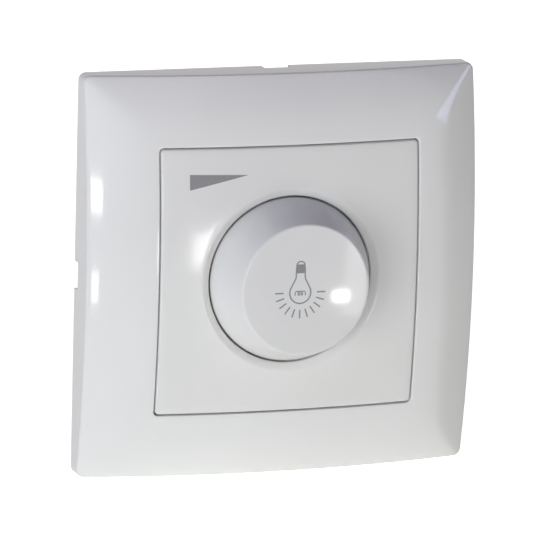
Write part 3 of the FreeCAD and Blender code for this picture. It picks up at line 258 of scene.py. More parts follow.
def pattern(material, size, colours=None, gloss=None, relief=None, stretch=(1, 1, 1), detail=3.0,
            kind="ShaderNodeTexNoise"):
    """Lay a pattern with features of a size in mm over colour, roughness and relief in mm."""
    tree = material.node_tree
    shader = tree.nodes["Principled BSDF"]
    place = add(tree, "ShaderNodeTexCoord").outputs["Object"]
    turned = add(tree, "ShaderNodeMapping", {"Vector": place, "Scale": stretch}).outputs[0]
    inputs = {"Vector": turned, "Scale": 1 / (size * MM)}
    if kind == "ShaderNodeTexNoise":
        inputs["Detail"] = detail
    texture = add(tree, kind, inputs)
    value = texture.outputs["Fac"] if kind == "ShaderNodeTexNoise" else texture.outputs[0]
    if colours:
        ramp = add(tree, "ShaderNodeValToRGB", [value])
        for stop, code, share in zip(ramp.color_ramp.elements, colours, (0.32, 0.68)):
            stop.color = linear(code)
            stop.position = share
        tree.links.new(ramp.outputs[0], shader.inputs["Base Color"])
    if gloss:
        span = add(tree, "ShaderNodeMapRange", [value, 0.3, 0.7, gloss[0], gloss[1]])
        tree.links.new(span.outputs[0], shader.inputs["Roughness"])
    if relief:
        bump = add(tree, "ShaderNodeBump", {"Height": value, "Strength": 1.0,
                                            "Distance": relief * MM})
        tree.links.new(bump.outputs[0], shader.inputs["Normal"])
    return material


print("finish functions ready")

# %% [markdown]
# ### The white mouldings
# Frame, plate and knob are injection moulded in white ABS against a mirror-polished mould.
# The skin is glossy, with the faintest orange peel: waves about two millimetres long and half a
# micron deep. The pigment drifts by a shade over some centimetres. A thin coat on the shader
# stands for the polish, and each moulding has its own grey, as in the picture.

# %% White ABS
ORANGE_PEEL = 1.8
# frame: cool white with long sharp streaks where a window shows in it
white_frame = finish("polished_white_abs_frame", "#E8E8E9", 0.09, IOR=1.5,
                     Coat_Weight=0.25, Coat_Roughness=0.04)
pattern(white_frame, 30, colours=("#E6E6E7", "#EAEAEB"))
pattern(white_frame, ORANGE_PEEL, relief=0.0006, detail=1.0)
# plate: a shade greyer and a little softer in its reflections
white_plate = finish("polished_white_abs_plate", "#E5E5E5", 0.1, IOR=1.5,
                     Coat_Weight=0.2, Coat_Roughness=0.05)
pattern(white_plate, 26, colours=("#E3E3E3", "#E7E7E7"))
pattern(white_plate, ORANGE_PEEL, relief=0.0006, detail=1.0)
# knob: the shiniest of the three, a lamp shows in it as a small hard spot
white_knob = finish("polished_white_abs_knob", "#E2E2E3", 0.06, IOR=1.5,
                    Coat_Weight=0.3, Coat_Roughness=0.03)
pattern(white_knob, 22, colours=("#E0E0E1", "#E4E4E5"))
pattern(white_knob, ORANGE_PEEL, relief=0.0005, detail=1.0)
# ink: flat mid grey, duller than the plastic; its grain is drawn coarse enough to show
grey_ink = finish("pad_printed_grey_ink", "#8A8A8D", 0.38)
pattern(grey_ink, 0.25, colours=("#858588", "#909093"), gloss=(0.32, 0.45))
print("white finishes:", white_frame.name, white_plate.name, white_knob.name)

# %% [markdown]
# ### Behind the wall line
# The bracket is zinc-plated sheet, whose coat grows in patches of a few millimetres. Screws
# and claws have the same coat, finer, and the spring is bright drawn wire. The shaft and its
# bushing are turned on a lathe, which leaves rings round the Y axis: their pattern is squeezed
# six times along Y, and at 0.35 mm it is coarser than real tool marks, so that it shows.

# %% Metals
TURNED = (1, 6, 1)
# grey crystals that catch the light in soft patches
zinc_sheet = finish("zinc_plated_sheet", "#B9BBBD", 0.34, 1.0)
pattern(zinc_sheet, 3.5, colours=("#AEB1B4", "#C3C4C4"), gloss=(0.27, 0.42), relief=0.004)
# the same coat in smaller patches, a little shinier
zinc_screw = finish("zinc_plated_screw", "#B2B6BB", 0.3, 1.0)
pattern(zinc_screw, 1.2, colours=("#A7ADB4", "#BDBFC0"), gloss=(0.24, 0.38), relief=0.002)
# darker steel with a thin sharp line of light along each turn
spring_wire = finish("drawn_spring_steel", "#9EA0A4", 0.26, 1.0)
pattern(spring_wire, 0.5, colours=("#94979C", "#A8A9AC"), gloss=(0.2, 0.34))
# warm yellow with fine bright rings
brass = finish("lathe_turned_brass", "#C9A765", 0.27, 1.0)
pattern(brass, 0.35, colours=("#BF9C59", "#D2B172"), gloss=(0.2, 0.36), stretch=TURNED)
# pale silver with fine rings
aluminium = finish("turned_aluminium", "#C8CACC", 0.3, 1.0)
pattern(aluminium, 0.35, colours=("#BFC1C4", "#D0D2D3"), gloss=(0.22, 0.4), stretch=TURNED)
# reddish wire under clear enamel, with long highlights round the coil
copper = finish("enamelled_copper_wire", "#A85524", 0.22, 1.0, Coat_Weight=0.6,
                Coat_Roughness=0.1)
pattern(copper, 1.5, colours=("#9C4B1E", "#B4602B"))
print("metals:", *(metal.name for metal in (zinc_sheet, zinc_screw, spring_wire, brass,
                                            aluminium, copper)))

# %% [markdown]
# ### Plastics and electric parts
# The module is glass-filled nylon. Its mould was sparked, and the fine grain hides the flow
# marks of the glass; here the grain is 0.35 mm wide, coarser than the real one, so that it
# shows. Inside are the usual finishes of small electric parts.

# %% Plastics and electric parts
# dull near-black with a grain that breaks up every highlight
dark_nylon = finish("glass_filled_nylon", "#33353A", 0.55)
pattern(dark_nylon, 14, colours=("#2F3136", "#383A3F"))
pattern(dark_nylon, 0.35, gloss=(0.48, 0.64), relief=0.012, detail=2.0)
# a harder, slightly shinier black
black_moulding = finish("black_moulded_thermoset", "#222326", 0.45)
pattern(black_moulding, 0.4, colours=("#1E1F22", "#28292C"), gloss=(0.38, 0.55), relief=0.006)
# matt black, like pencil lead
carbon = finish("printed_carbon_track", "#17171A", 0.6)
pattern(carbon, 0.2, colours=("#131316", "#1E1E21"), gloss=(0.5, 0.7))
# glossy green lacquer that dips between the copper tracks under it
laminate = finish("green_solder_mask", "#1F5A33", 0.3)
pattern(laminate, 2.2, colours=("#1A5230", "#27693D"), gloss=(0.24, 0.38), relief=0.01,
        kind="ShaderNodeTexVoronoi")
# rough brown-grey grain, like a cast stone
iron_powder = finish("sintered_iron_powder", "#4A463F", 0.75)
pattern(iron_powder, 0.3, colours=("#3F3B36", "#57534A"), relief=0.02)
# mustard drop shape with soft broad highlights
dipped = finish("dipped_epoxy", "#9C7226", 0.32)
pattern(dipped, 2.5, colours=("#946A20", "#A67B2D"), relief=0.01)
# clear tube with a hard highlight
glass = finish("drawn_glass_tube", "#E9F1F1", 0.04, IOR=1.5, Transmission_Weight=0.85)
pattern(glass, 6, gloss=(0.03, 0.07))
# sand-coloured lacquer, half glossy
lacquer = finish("lacquered_resistor", "#C9B27E", 0.35)
pattern(lacquer, 1.0, colours=("#C1A974", "#D0BA88"))
print("others:", *(other.name for other in (dark_nylon, black_moulding, carbon, laminate,
                                            iron_powder, dipped, glass, lacquer)))

# %% Dress the CAD nodes by their slots
FINISH_OF_SLOT = {
    "cover_plastic": white_frame, "plate_plastic": white_plate, "knob_plastic": white_knob,
    "housing_plastic": dark_nylon, "bracket_steel": zinc_sheet, "screw_steel": zinc_screw,
    "spring_steel": spring_wire, "turned_brass": brass, "shaft_aluminium": aluminium,
    "board_laminate": laminate, "inner_plastic": black_moulding, "track_carbon": carbon,
    "ferrite": iron_powder, "enamelled_copper": copper, "capacitor_case": dipped,
    "fuse_glass": glass, "resistor_body": lacquer,
}
for row in frame["record"]["subparts"]:
    thing = NODES[row["node"]]
    thing.data.materials.clear()
    thing.data.materials.append(FINISH_OF_SLOT[row["material_slot"]])
print("dressed", len(NODES), "CAD nodes")

# %% [markdown]
# ## The dome
# Frame and plate share one front: a dome of 202 mm radius whose margin falls away on a
# tighter arc. The mould maker turns that profile twice, about two crossed axes behind the
# wall, and keeps what lies under both surfaces. Where they cross, along the diagonals, the
# corners get their soft mitres. Such a rule suits Geometry Nodes: the tree takes a flat
# lattice and pushes each point to the dome, so frame, plate and printed wedge all fit. Points
# with a lift of 0 stay where they are, which keeps the back edge flat on the wall.

# %% Geometry Nodes tree that lifts a flat lattice onto the dome
DOME_RADIUS, DOME_RISE, MARGIN_RADIUS, KNEE, MITRE_SOFTNESS = 202.0, 15.1, 37.5, 26.7, 1.0
TREE_INPUTS = {"Dome radius": DOME_RADIUS, "Dome rise": DOME_RISE,
               "Margin radius": MARGIN_RADIUS, "Knee": KNEE, "Mitre softness": MITRE_SOFTNESS}


def new_tree(name, sizes):
    """Empty geometry tree with a geometry, its named sizes and a material as inputs."""
    tree = bpy.data.node_groups.new(name, "GeometryNodeTree")
    face = tree.interface
    face.new_socket("Geometry", in_out="OUTPUT", socket_type="NodeSocketGeometry")
    face.new_socket("Geometry", in_out="INPUT", socket_type="NodeSocketGeometry")
    for size, value in sizes.items():
        kind = "NodeSocket" + {int: "Int", float: "Float", tuple: "Vector"}[type(value)]
        face.new_socket(size, in_out="INPUT", socket_type=kind).default_value = value
    face.new_socket("Material", in_out="INPUT", socket_type="NodeSocketMaterial")
    return tree, add(tree, "NodeGroupInput").outputs


def end_tree(tree, shape, material):
    """Turn instances into mesh, give it the material and send it out of the tree."""
    real = add(tree, "GeometryNodeRealizeInstances", [shape])
    dressed = add(tree, "GeometryNodeSetMaterial", {"Geometry": real.outputs[0],
                                                    "Material": material})
    add(tree, "NodeGroupOutput", [dressed.outputs[0]])
    print(tree.name, "has", len(tree.nodes), "nodes")


dome_tree, given = new_tree("lift_onto_dome", TREE_INPUTS)
here = add(dome_tree, "GeometryNodeInputPosition")
split = add(dome_tree, "ShaderNodeSeparateXYZ", [here.outputs[0]])
lift = add(dome_tree, "GeometryNodeInputNamedAttribute", {"Name": "lift"}, data_type="FLOAT")
known = {"x": split.outputs["X"], "z": split.outputs["Z"], "lift": lift.outputs["Attribute"],
         "dome": given["Dome radius"], "rise": given["Dome rise"],
         "margin": given["Margin radius"], "knee": given["Knee"],
         "soft": given["Mitre softness"]}
steps = [("lean", "DIVIDE", "knee", "dome"), ("gap", "SUBTRACT", "dome", "margin"),
         ("hub_reach", "MULTIPLY", "gap", "lean"), ("lean_2", "MULTIPLY", "lean", "lean"),
         ("rest", "SUBTRACT", 1.0, "lean_2"), ("fall", "SQRT", "rest"),
         ("hub_height", "MULTIPLY", "gap", "fall"), ("axis", "SUBTRACT", "dome", "rise"),
         ("dome_2", "MULTIPLY", "dome", "dome"), ("margin_2", "MULTIPLY", "margin", "margin")]
for a, b in (("x", "z"), ("z", "x")):
    steps += [(f"{a}_reach", "ABSOLUTE", a), (f"{a}_past", "GREATER_THAN", f"{a}_reach", "knee"),
              (f"{a}_sq", "MULTIPLY", a, a), (f"{a}_left", "SUBTRACT", "dome_2", f"{a}_sq"),
              (f"{a}_middle", "SQRT", f"{a}_left"),
              (f"{a}_off", "SUBTRACT", f"{a}_reach", "hub_reach"),
              (f"{a}_off_sq", "MULTIPLY", f"{a}_off", f"{a}_off"),
              (f"{a}_room", "SUBTRACT", "margin_2", f"{a}_off_sq"),
              (f"{a}_arc", "SQRT", f"{a}_room"),
              (f"{a}_edge", "ADD", f"{a}_arc", "hub_height"),
              (f"{a}_step", "SUBTRACT", f"{a}_edge", f"{a}_middle"),
              (f"{a}_radius", "MULTIPLY_ADD", f"{a}_past", f"{a}_step", f"{a}_middle"),
              (f"{a}_radius_sq", "MULTIPLY", f"{a}_radius", f"{a}_radius"),
              (f"{b}_sq_again", "MULTIPLY", b, b),
              (f"{a}_square", "SUBTRACT", f"{a}_radius_sq", f"{b}_sq_again"),
              (f"{a}_depth", "SQRT", f"{a}_square"),
              (f"{a}_front", "SUBTRACT", "axis", f"{a}_depth")]
steps += [("front", "SMOOTH_MAX", "x_front", "z_front", "soft"),
          ("push", "MULTIPLY", "front", "lift")]
for name, operation, *operands in steps:
    sockets = [known.get(value, value) for value in operands]
    known[name] = add(dome_tree, "ShaderNodeMath", sockets, operation=operation).outputs[0]
shift = add(dome_tree, "ShaderNodeCombineXYZ", {"Y": known["push"]})
moved = add(dome_tree, "GeometryNodeSetPosition", {"Geometry": given["Geometry"],
                                                   "Offset": shift.outputs[0]})
end_tree(dome_tree, moved.outputs[0], given["Material"])

# %% [markdown]
# ## From lattice to piece
# The lattices are drawn in millimetres, like the drawing. A finished piece must be a plain
# mesh in metres, so one function runs a tree on a lattice, keeps the evaluated result, turns
# its faces outwards and marks the sharp edges. Another function names the CAD node that the
# piece stands for and the body that it rides on.

# %% Run a tree and settle the result
SHARP, MERGE = math.radians(32), 0.001


def grown(name, points, faces, *trees, attributes=None):
    """Plain mesh object in mm, after each geometry tree has had its turn with its sizes."""
    mesh = bpy.data.meshes.new(name)
    mesh.from_pydata([tuple(p) for p in points], [], faces)
    for key, values in (attributes or {}).items():
        mesh.attributes.new(key, "FLOAT", "POINT").data.foreach_set("value", values)
    thing = bpy.data.objects.new(name, mesh)
    scene.collection.objects.link(thing)
    for tree, sizes in trees:
        modifier = thing.modifiers.new("grow", "NODES")
        modifier.node_group = tree
        for item in tree.interface.items_tree:
            if item.in_out == "INPUT" and item.name in sizes:
                modifier[item.identifier] = sizes[item.name]
    graph = bpy.context.evaluated_depsgraph_get()
    thing.data = bpy.data.meshes.new_from_object(thing.evaluated_get(graph))
    thing.modifiers.clear()
    return thing


def settle(thing, material, smooth=True):
    """Merge doubles, close round ends, face outwards, scale to metres, mark sharp edges."""
    work = bmesh.new()
    work.from_mesh(thing.data)
    bmesh.ops.remove_doubles(work, verts=work.verts, dist=MERGE)
    bmesh.ops.holes_fill(work, edges=[edge for edge in work.edges if edge.is_boundary], sides=0)
    bmesh.ops.recalc_face_normals(work, faces=work.faces)
    bmesh.ops.scale(work, vec=(MM, MM, MM), verts=work.verts)
    for face in work.faces:
        face.smooth = smooth
    loose = sum(not edge.is_manifold for edge in work.edges)
    work.to_mesh(thing.data)
    work.free()
    thing.data.set_sharp_from_angle(angle=SHARP)
    thing.data.materials.clear()
    thing.data.materials.append(material)
    for attribute in [a.name for a in thing.data.attributes if a.name == "lift"]:
        thing.data.attributes.remove(thing.data.attributes[attribute])
    print(thing.name, len(thing.data.polygons), "faces,", loose, "open edges")
    return thing


def stand_for(thing, slot, body, *nodes):
    """Let a piece ride on its body and hide the CAD nodes it stands for; the slot is not used."""
    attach(thing, body)
    if nodes:
        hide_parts(*nodes)
    return thing


# %% [markdown]
# ## The cover frame
# Follow one line from the opening to the wall: up the wall of the opening, over its small
# round, across the dome, round the outer edge, down the side to the wall, and back inside
# along the hollow to the ledge that holds the plate. Swept round the square, that line closes
# on itself. Each row of the lattice is one stop on the line and each column one place round
# the square, with many columns near the corners, where the mitres need them. Columns at 2.8 mm
# from each side's middle let the four pry notches be left out of the side wall.

# %% Rings of the lattice
STATIONS = [0, 1.4, 2.8, 4.4, 6, 8, 10, 12.5, 15, 17.5, 20]
SHARES = [0.25, 0.45, 0.62, 0.76, 0.88, 0.96]
ARC_STEPS = 12
NOTCH_STATION = 2


def square_ring(half, corner):
    """Points round a square with rounded corners; each side has the same stations."""
    straight = half - corner
    last = STATIONS[-1]
    run = STATIONS + [last + (straight - last) * share for share in SHARES]
    points = [(half, -v) for v in run[:0:-1]] + [(half, v) for v in run]
    for k in range(ARC_STEPS + 1):
        t = math.pi / 2 * k / ARC_STEPS
        points.append((straight + corner * math.cos(t), straight + corner * math.sin(t)))
    ring = []
    for _ in range(4):
        ring += points
        points = [(-z, x) for x, z in points]
    return ring


def skin(rows, gaps=None):
    """Lattice through rows of (ring, y, lift), closed both ways, and its lift attribute."""
    count = len(rows[0][0])
    points = [(x, y, z) for ring, y, _ in rows for x, z in ring]
    lifts = [rise for _, _, rise in rows for _ in range(count)]
    faces = []
    for r in range(len(rows)):
        for c in range(count):
            if gaps and r in gaps["rows"] and c in gaps["columns"]:
                continue
            n, m = (r + 1) % len(rows), (c + 1) % count
            faces.append((r * count + c, r * count + m, n * count + m, n * count + c))
    return points, faces, lifts


PER_SIDE = 2 * (len(STATIONS) + len(SHARES)) - 1 + ARC_STEPS + 1
print(PER_SIDE * 4, "columns round the square")

# %% [markdown]
# ### The rows of the frame
# Both edges of the front are rounded: 0.25 mm at the mouth of the opening, 0.7 mm outside. The
# outer round has to start where the dome's own slope ends, so that slope is worked out first,
# from where the margin's arc is centred.

# %% Rows from the opening, over the dome, to the wall and back inside
FRAME_HALF, FRAME_CORNER, OPENING, OPENING_CORNER = 41.0, 1.5, 27.3, 1.0
EDGE_ROUND, MOUTH_ROUND, NOTCH_DEPTH = 0.7, 0.25, 2.3
BACK_Y, MOUTH_WALL_Y, INNER_CORNER = -2.7, -7.0, 0.4
HOLLOW_HALF, FRAME_WALL, LEDGE_HALF, LEDGE_INSIDE, LEDGE_Y = 39.0, 2.25, 29.0, 25.8, -1.2
hub = (DOME_RADIUS - MARGIN_RADIUS) * KNEE / DOME_RADIUS
slope = math.asin((FRAME_HALF - hub) / MARGIN_RADIUS)


def corner_at(half):
    """Corner radius of the ring at a half width, between the opening's and the frame's."""
    share = (half - OPENING) / (FRAME_HALF - OPENING)
    return OPENING_CORNER + (FRAME_CORNER - OPENING_CORNER) * share


rows = [(square_ring(OPENING, OPENING_CORNER), y, 0.0) for y in (BACK_Y, MOUTH_WALL_Y)]
for k in range(5):
    t = math.pi / 2 * k / 4
    half = OPENING + MOUTH_ROUND * (1 - math.cos(t))
    rows.append((square_ring(half, corner_at(half)), MOUTH_ROUND * (1 - math.sin(t)), 1.0))
first_fillet = FRAME_HALF - EDGE_ROUND * (1 - math.sin(slope))
for half in np.linspace(OPENING + MOUTH_ROUND, first_fillet, 24)[1:-1]:
    rows.append((square_ring(half, corner_at(half)), 0.0, 1.0))
for k in range(9):
    t = slope + (math.pi / 2 - slope) * k / 8
    inset = EDGE_ROUND * (1 - math.sin(t))
    drop = EDGE_ROUND * (1 / math.cos(slope) - math.cos(t) - math.tan(slope))
    ring = square_ring(FRAME_HALF - inset, corner_at(FRAME_HALF - inset))
    rows.append((ring, drop + math.tan(slope) * inset, 1.0))
outer = square_ring(FRAME_HALF, FRAME_CORNER)
inner = square_ring(HOLLOW_HALF, INNER_CORNER)
rows += [(outer, -NOTCH_DEPTH, 0.0), (outer, 0.0, 0.0), (inner, 0.0, 0.0),
         (inner, -NOTCH_DEPTH, 0.0)]
low_row = len(rows) - 4
rows += [(square_ring(half, INNER_CORNER), FRAME_WALL, 1.0)
         for half in np.linspace(HOLLOW_HALF, LEDGE_HALF, 6)]
rows += [(square_ring(half, INNER_CORNER), y, 0.0) for half, y in
         ((LEDGE_HALF, LEDGE_Y), (LEDGE_INSIDE, LEDGE_Y), (LEDGE_INSIDE, BACK_Y))]
print(len(rows), "rows, dome slope at the edge", round(math.degrees(slope), 1), "degrees")

# %% [markdown]
# ### The pry notches
# Each side has a notch at its middle, where a screwdriver lifts the frame off. The lattice
# leaves the side wall out there, from the wall line up to the notch's depth, and a roof and two
# cheeks close the cut.

# %% Cut the notches and build the cover frame
middle = len(STATIONS) + len(SHARES) - 1
notch_columns = {side * PER_SIDE + middle + step for side in range(4)
                 for step in range(-NOTCH_STATION, NOTCH_STATION)}
points, faces, lifts = skin(rows, {"rows": {low_row, low_row + 1, low_row + 2},
                                   "columns": notch_columns})
count = len(outer)
ends = [low_row * count, (low_row + 1) * count, (low_row + 2) * count, (low_row + 3) * count]
for c in notch_columns:
    faces.append((ends[0] + c, ends[0] + c + 1, ends[3] + c + 1, ends[3] + c))
for side in range(4):
    for step in (-NOTCH_STATION, NOTCH_STATION):
        c = side * PER_SIDE + middle + step
        faces.append(tuple(end + c for end in ends))
cover = grown("cover_frame_skin", points, faces,
              (dome_tree, {**TREE_INPUTS, "Material": white_frame}), attributes={"lift": lifts})
stand_for(settle(cover, white_frame), "cover_plastic", "base", "cover_frame")

# %% [markdown]
# ## The centre plate
# The plate continues the same dome inside a gap of 0.3 mm. In its middle is the cup for the
# knob: a countersunk rim that catches a bright line, a dark wall and a flat floor. The rows
# begin as squares and end as circles, so the lattice turns one into the other.

# %% Build the centre plate
PLATE_HALF, PLATE_CORNER, PLATE_ROUND, PLATE_WALL, PLATE_INSIDE = 27.0, 0.8, 0.4, 1.8, 25.5
RIM, CUP, FLOOR_Y, SHAFT_HOLE, CUP_BACK_Y, CUP_OUTSIDE = 18.5, 17.05, -9.5, 5.1, -7.5, 18.85
RIM_ROUND = ((18.75, 0.012), (18.6, 0.045), (18.45, 0.105), (18.3, 0.19))
RIM_CONE = ((17.35, -13.42), (17.18, -13.28), (17.08, -13.12), (CUP, -12.9))
CUP_LINE = ((CUP, FLOOR_Y), (SHAFT_HOLE, FLOOR_Y), (SHAFT_HOLE, CUP_BACK_Y),
            (CUP_OUTSIDE, CUP_BACK_Y))


def round_ring(radius):
    """Points round a circle, in line with those of the plate's outline."""
    ways = [math.atan2(z, x) for x, z in square_ring(PLATE_HALF, PLATE_CORNER)]
    return [(radius * math.cos(t), radius * math.sin(t)) for t in ways]


def between(share):
    """Ring between the plate's outline and the rim of its cup."""
    start = square_ring(PLATE_HALF - PLATE_ROUND, PLATE_CORNER)
    end = round_ring(RIM + PLATE_ROUND)
    return [(a + (c - a) * share, b + (d - b) * share) for (a, b), (c, d) in zip(start, end)]


rows = [(square_ring(PLATE_HALF, PLATE_CORNER), BACK_Y, 0.0)]
for k in range(5):
    t = math.pi / 2 * k / 4
    half = PLATE_HALF - PLATE_ROUND * (1 - math.cos(t))
    rows.append((square_ring(half, PLATE_CORNER), PLATE_ROUND * (1 - math.sin(t)), 1.0))
rows += [(between(share), 0.0, 1.0) for share in (0.12, 0.25, 0.4, 0.55, 0.7, 0.85, 1.0)]
rows += [(round_ring(radius), drop, 1.0) for radius, drop in RIM_ROUND]
rows += [(round_ring(radius), y, 0.0) for radius, y in RIM_CONE + CUP_LINE]
rows += [(round_ring(CUP_OUTSIDE), PLATE_WALL, 1.0),
         (square_ring(PLATE_INSIDE, INNER_CORNER), PLATE_WALL, 1.0),
         (square_ring(PLATE_INSIDE, INNER_CORNER), BACK_Y, 0.0)]
points, faces, lifts = skin(rows)
plate = grown("center_plate_skin", points, faces,
              (dome_tree, {**TREE_INPUTS, "Material": white_plate}), attributes={"lift": lifts})
stand_for(settle(plate, white_plate), "plate_plastic", "base", "center_plate")

# %% [markdown]
# ## The knob
# A turned shape needs only its half section. The tree sweeps that section round a circle, as
# a lathe would, and then sets six ribs inside the cap, one every 60 degrees. The section has
# the very flat crown of the face, a round of 0.6 mm, the cone and the short skirt, and comes
# back inside round the hub and into the bore for the shaft. It stops 0.3 mm short of the axis
# at both ends, and settling the piece closes those two small holes.

# %% Half section of the knob
FACE_Y, SAG, FACE_RADIUS, KNOB_ROUND, POLE = -23.2, 0.3, 13.25, 0.6, 0.3
SKIRT_RADIUS, CONE_Y, SKIRT_Y, SKIRT_ROUND = 16.7, -13.6, -12.6, 0.15
CAP_Y, HUB_Y, BORE_Y = -21.2, -15.0, -19.85
SKIRT_INSIDE, CAP_INSIDE, HUB, BORE = 14.9, 12.45, 5.0, 3.05
taper = math.atan((SKIRT_RADIUS - FACE_RADIUS) / (CONE_Y - FACE_Y))
tangent = KNOB_ROUND * math.tan((math.pi / 2 - taper) / 2)
crown = FACE_RADIUS - tangent
section = [(r, FACE_Y - SAG * (1 - (r / FACE_RADIUS) ** 2))
           for r in np.linspace(POLE, crown, 14)]
hub_y = section[-1][1] + KNOB_ROUND
for k in range(1, 13):
    t = (math.pi / 2 - taper) * k / 12
    section.append((crown + KNOB_ROUND * math.sin(t), hub_y - KNOB_ROUND * math.cos(t)))
start = section[-1]
section += [(start[0] + (SKIRT_RADIUS - start[0]) * s, start[1] + (CONE_Y - start[1]) * s)
            for s in (0.25, 0.5, 0.75, 0.97)]
section += [(SKIRT_RADIUS, CONE_Y + 0.25), (SKIRT_RADIUS, SKIRT_Y - SKIRT_ROUND),
            (SKIRT_RADIUS - SKIRT_ROUND, SKIRT_Y), (SKIRT_INSIDE, SKIRT_Y),
            (SKIRT_INSIDE, CONE_Y), (CAP_INSIDE, CAP_Y), (HUB, CAP_Y), (HUB, HUB_Y),
            (BORE, HUB_Y), (BORE, BORE_Y), (POLE, BORE_Y)]
print(len(section), "stops on the section, taper", round(math.degrees(taper), 1), "degrees")

# %% [markdown]
# ### Turned copies
# Two small building blocks serve this tree and a later one. The first sets copies of anything
# evenly round the Y axis: a wedge of the section, a rib, a ray. The second is a box between two
# corners. The section becomes a wedge one step wide, and 160 wedges close the round.

# %% Tree that turns the section and sets the ribs
TURNS = 160
KNOB_SIZES = {"Steps round": TURNS, "Ribs": 6, "Rib inside": 4.8, "Rib outside": 13.1,
              "Rib thickness": 1.2, "Rib front": -21.4, "Rib back": -17.0}
knob_tree, given = new_tree("turn_a_section", KNOB_SIZES)


def turned_copies(tree, count, instance, start=0.0, sweep=math.tau):
    """Socket with copies of an instance, turned evenly about the Y axis."""
    posts = add(tree, "GeometryNodeMeshLine", {"Count": count, "Offset": (0.0, 0.0, 0.0)})
    number = add(tree, "GeometryNodeInputIndex")
    share = add(tree, "ShaderNodeMath", [number.outputs[0], count], operation="DIVIDE")
    angle = add(tree, "ShaderNodeMath", [share.outputs[0], sweep, start], operation="MULTIPLY_ADD")
    spin = add(tree, "ShaderNodeCombineXYZ", {"Y": angle.outputs[0]})
    return add(tree, "GeometryNodeInstanceOnPoints",
               {"Points": posts.outputs[0], "Instance": instance,
                "Rotation": spin.outputs[0]}).outputs[0]


def block(tree, low, high, thickness):
    """Socket with a box between two corners given as (radius, y) sockets, centred on Z = 0."""
    spans = [add(tree, "ShaderNodeMath", [b, a], operation="SUBTRACT").outputs[0]
             for a, b in zip(low, high)]
    mids = [add(tree, "ShaderNodeMath", [span, 0.5, a], operation="MULTIPLY_ADD").outputs[0]
            for span, a in zip(spans, low)]
    size = add(tree, "ShaderNodeCombineXYZ", [*spans, thickness])
    place = add(tree, "ShaderNodeCombineXYZ", mids)
    cube = add(tree, "GeometryNodeMeshCube", {"Size": size.outputs[0]})
    return add(tree, "GeometryNodeTransform", {"Geometry": cube.outputs[0],
                                               "Translation": place.outputs[0]}).outputs[0]


fan = turned_copies(knob_tree, given["Steps round"], given["Geometry"])
rib = block(knob_tree, (given["Rib inside"], given["Rib front"]),
            (given["Rib outside"], given["Rib back"]), given["Rib thickness"])
ribs = turned_copies(knob_tree, given["Ribs"], rib)
joined = add(knob_tree, "GeometryNodeJoinGeometry")
for copies in (ribs, fan):
    knob_tree.links.new(copies, joined.inputs[0])
end_tree(knob_tree, joined.outputs[0], given["Material"])

# %% Build the knob
width = math.tau / TURNS
wedge = [(r * math.cos(side * width / 2), y, r * math.sin(side * width / 2))
         for r, y in section for side in (-1, 1)]
strips = [(2 * k, 2 * k + 1, 2 * k + 3, 2 * k + 2) for k in range(len(section) - 1)]
knob = grown("knob_skin", wedge, strips, (knob_tree, {**KNOB_SIZES, "Material": white_knob}))
stand_for(settle(knob, white_knob), "knob_plastic", "knob", "knob")

# %% [markdown]
# ## The printed signs
# Ink is a film, and here each stroke is a slab a few hundredths of a millimetre thick, half
# of it sunk in the plastic. A stroke follows a flat path with a width at each stop. The dome
# tree then lays it on its surface: on the plate with the sizes of the cover, on the knob with
# those of its much flatter crown. The wedge on the plate says which way is brighter. The lamp
# on the knob has a cap, a glass outline and a curled filament, and a tree sets its rays.

# %% Strokes of ink
INK_FRONT, INK_BACK = -0.03, 0.02


def stroke(path, widths, side=None):
    """Slab along a flat path of (x, z) stops; its ends are square unless a side is given."""
    points, faces = [], []
    for k, (x, z) in enumerate(path):
        (ax, az), (bx, bz) = path[max(k - 1, 0)], path[min(k + 1, len(path) - 1)]
        across = Vector(side or (az - bz, bx - ax)).normalized() * widths[k] / 2
        points += [(x + s * across.x, y, z + s * across.y) for y in (INK_FRONT, INK_BACK)
                   for s in (-1, 1)]
    for k in range(len(path) - 1):
        a, b = 4 * k, 4 * k + 4
        faces += [(a, a + 1, b + 1, b), (a + 2, b + 2, b + 3, a + 3),
                  (a, b, b + 2, a + 2), (a + 1, a + 3, b + 3, b + 1)]
    end = len(points) - 4
    return points, faces + [(0, 2, 3, 1), (end, end + 1, end + 3, end + 2)]


def printed(name, strokes, sizes, body, *trees):
    """Strokes of ink as one piece on a dome of given sizes."""
    points, faces = [], []
    for some_points, some_faces in strokes:
        shift = len(points)
        points += some_points
        faces += [tuple(shift + number for number in face) for face in some_faces]
    ink = grown(name, points, faces, *trees, (dome_tree, {**sizes, "Material": grey_ink}),
                attributes={"lift": [1.0] * len(points)})
    return stand_for(settle(ink, grey_ink, smooth=False), SLOT_OF_BODY[body], body)


SLOT_OF_BODY = {"base": "plate_plastic", "knob": "knob_plastic"}
print("ink is", round(INK_BACK - INK_FRONT, 3), "mm thick")

# %% The wedge on the plate
WEDGE_START, WEDGE_RUN, WEDGE_HEIGHT, WEDGE_TIP = (-21.33, 20.44), (11.82, 1.27), 3.08, 0.03
steps = np.linspace(0, 1, 25)
wedge_path = [(WEDGE_START[0] + WEDGE_RUN[0] * t, WEDGE_START[1] + WEDGE_RUN[1] * t)
              for t in steps]
wedge_print = stroke(wedge_path, [WEDGE_HEIGHT * (1 - t) + WEDGE_TIP for t in steps],
                     side=(0, 1))
printed("wedge_print", [wedge_print], TREE_INPUTS, "base")

# %% [markdown]
# ### The lamp sign
# Its outline is one stroke: down the neck, round the glass and up again. The cap is a broad
# short stroke, its tip an arch, and the filament a curl that moves on while it turns. The
# knob's crown is a dome too, so flat that its radius comes from its width and its sag.

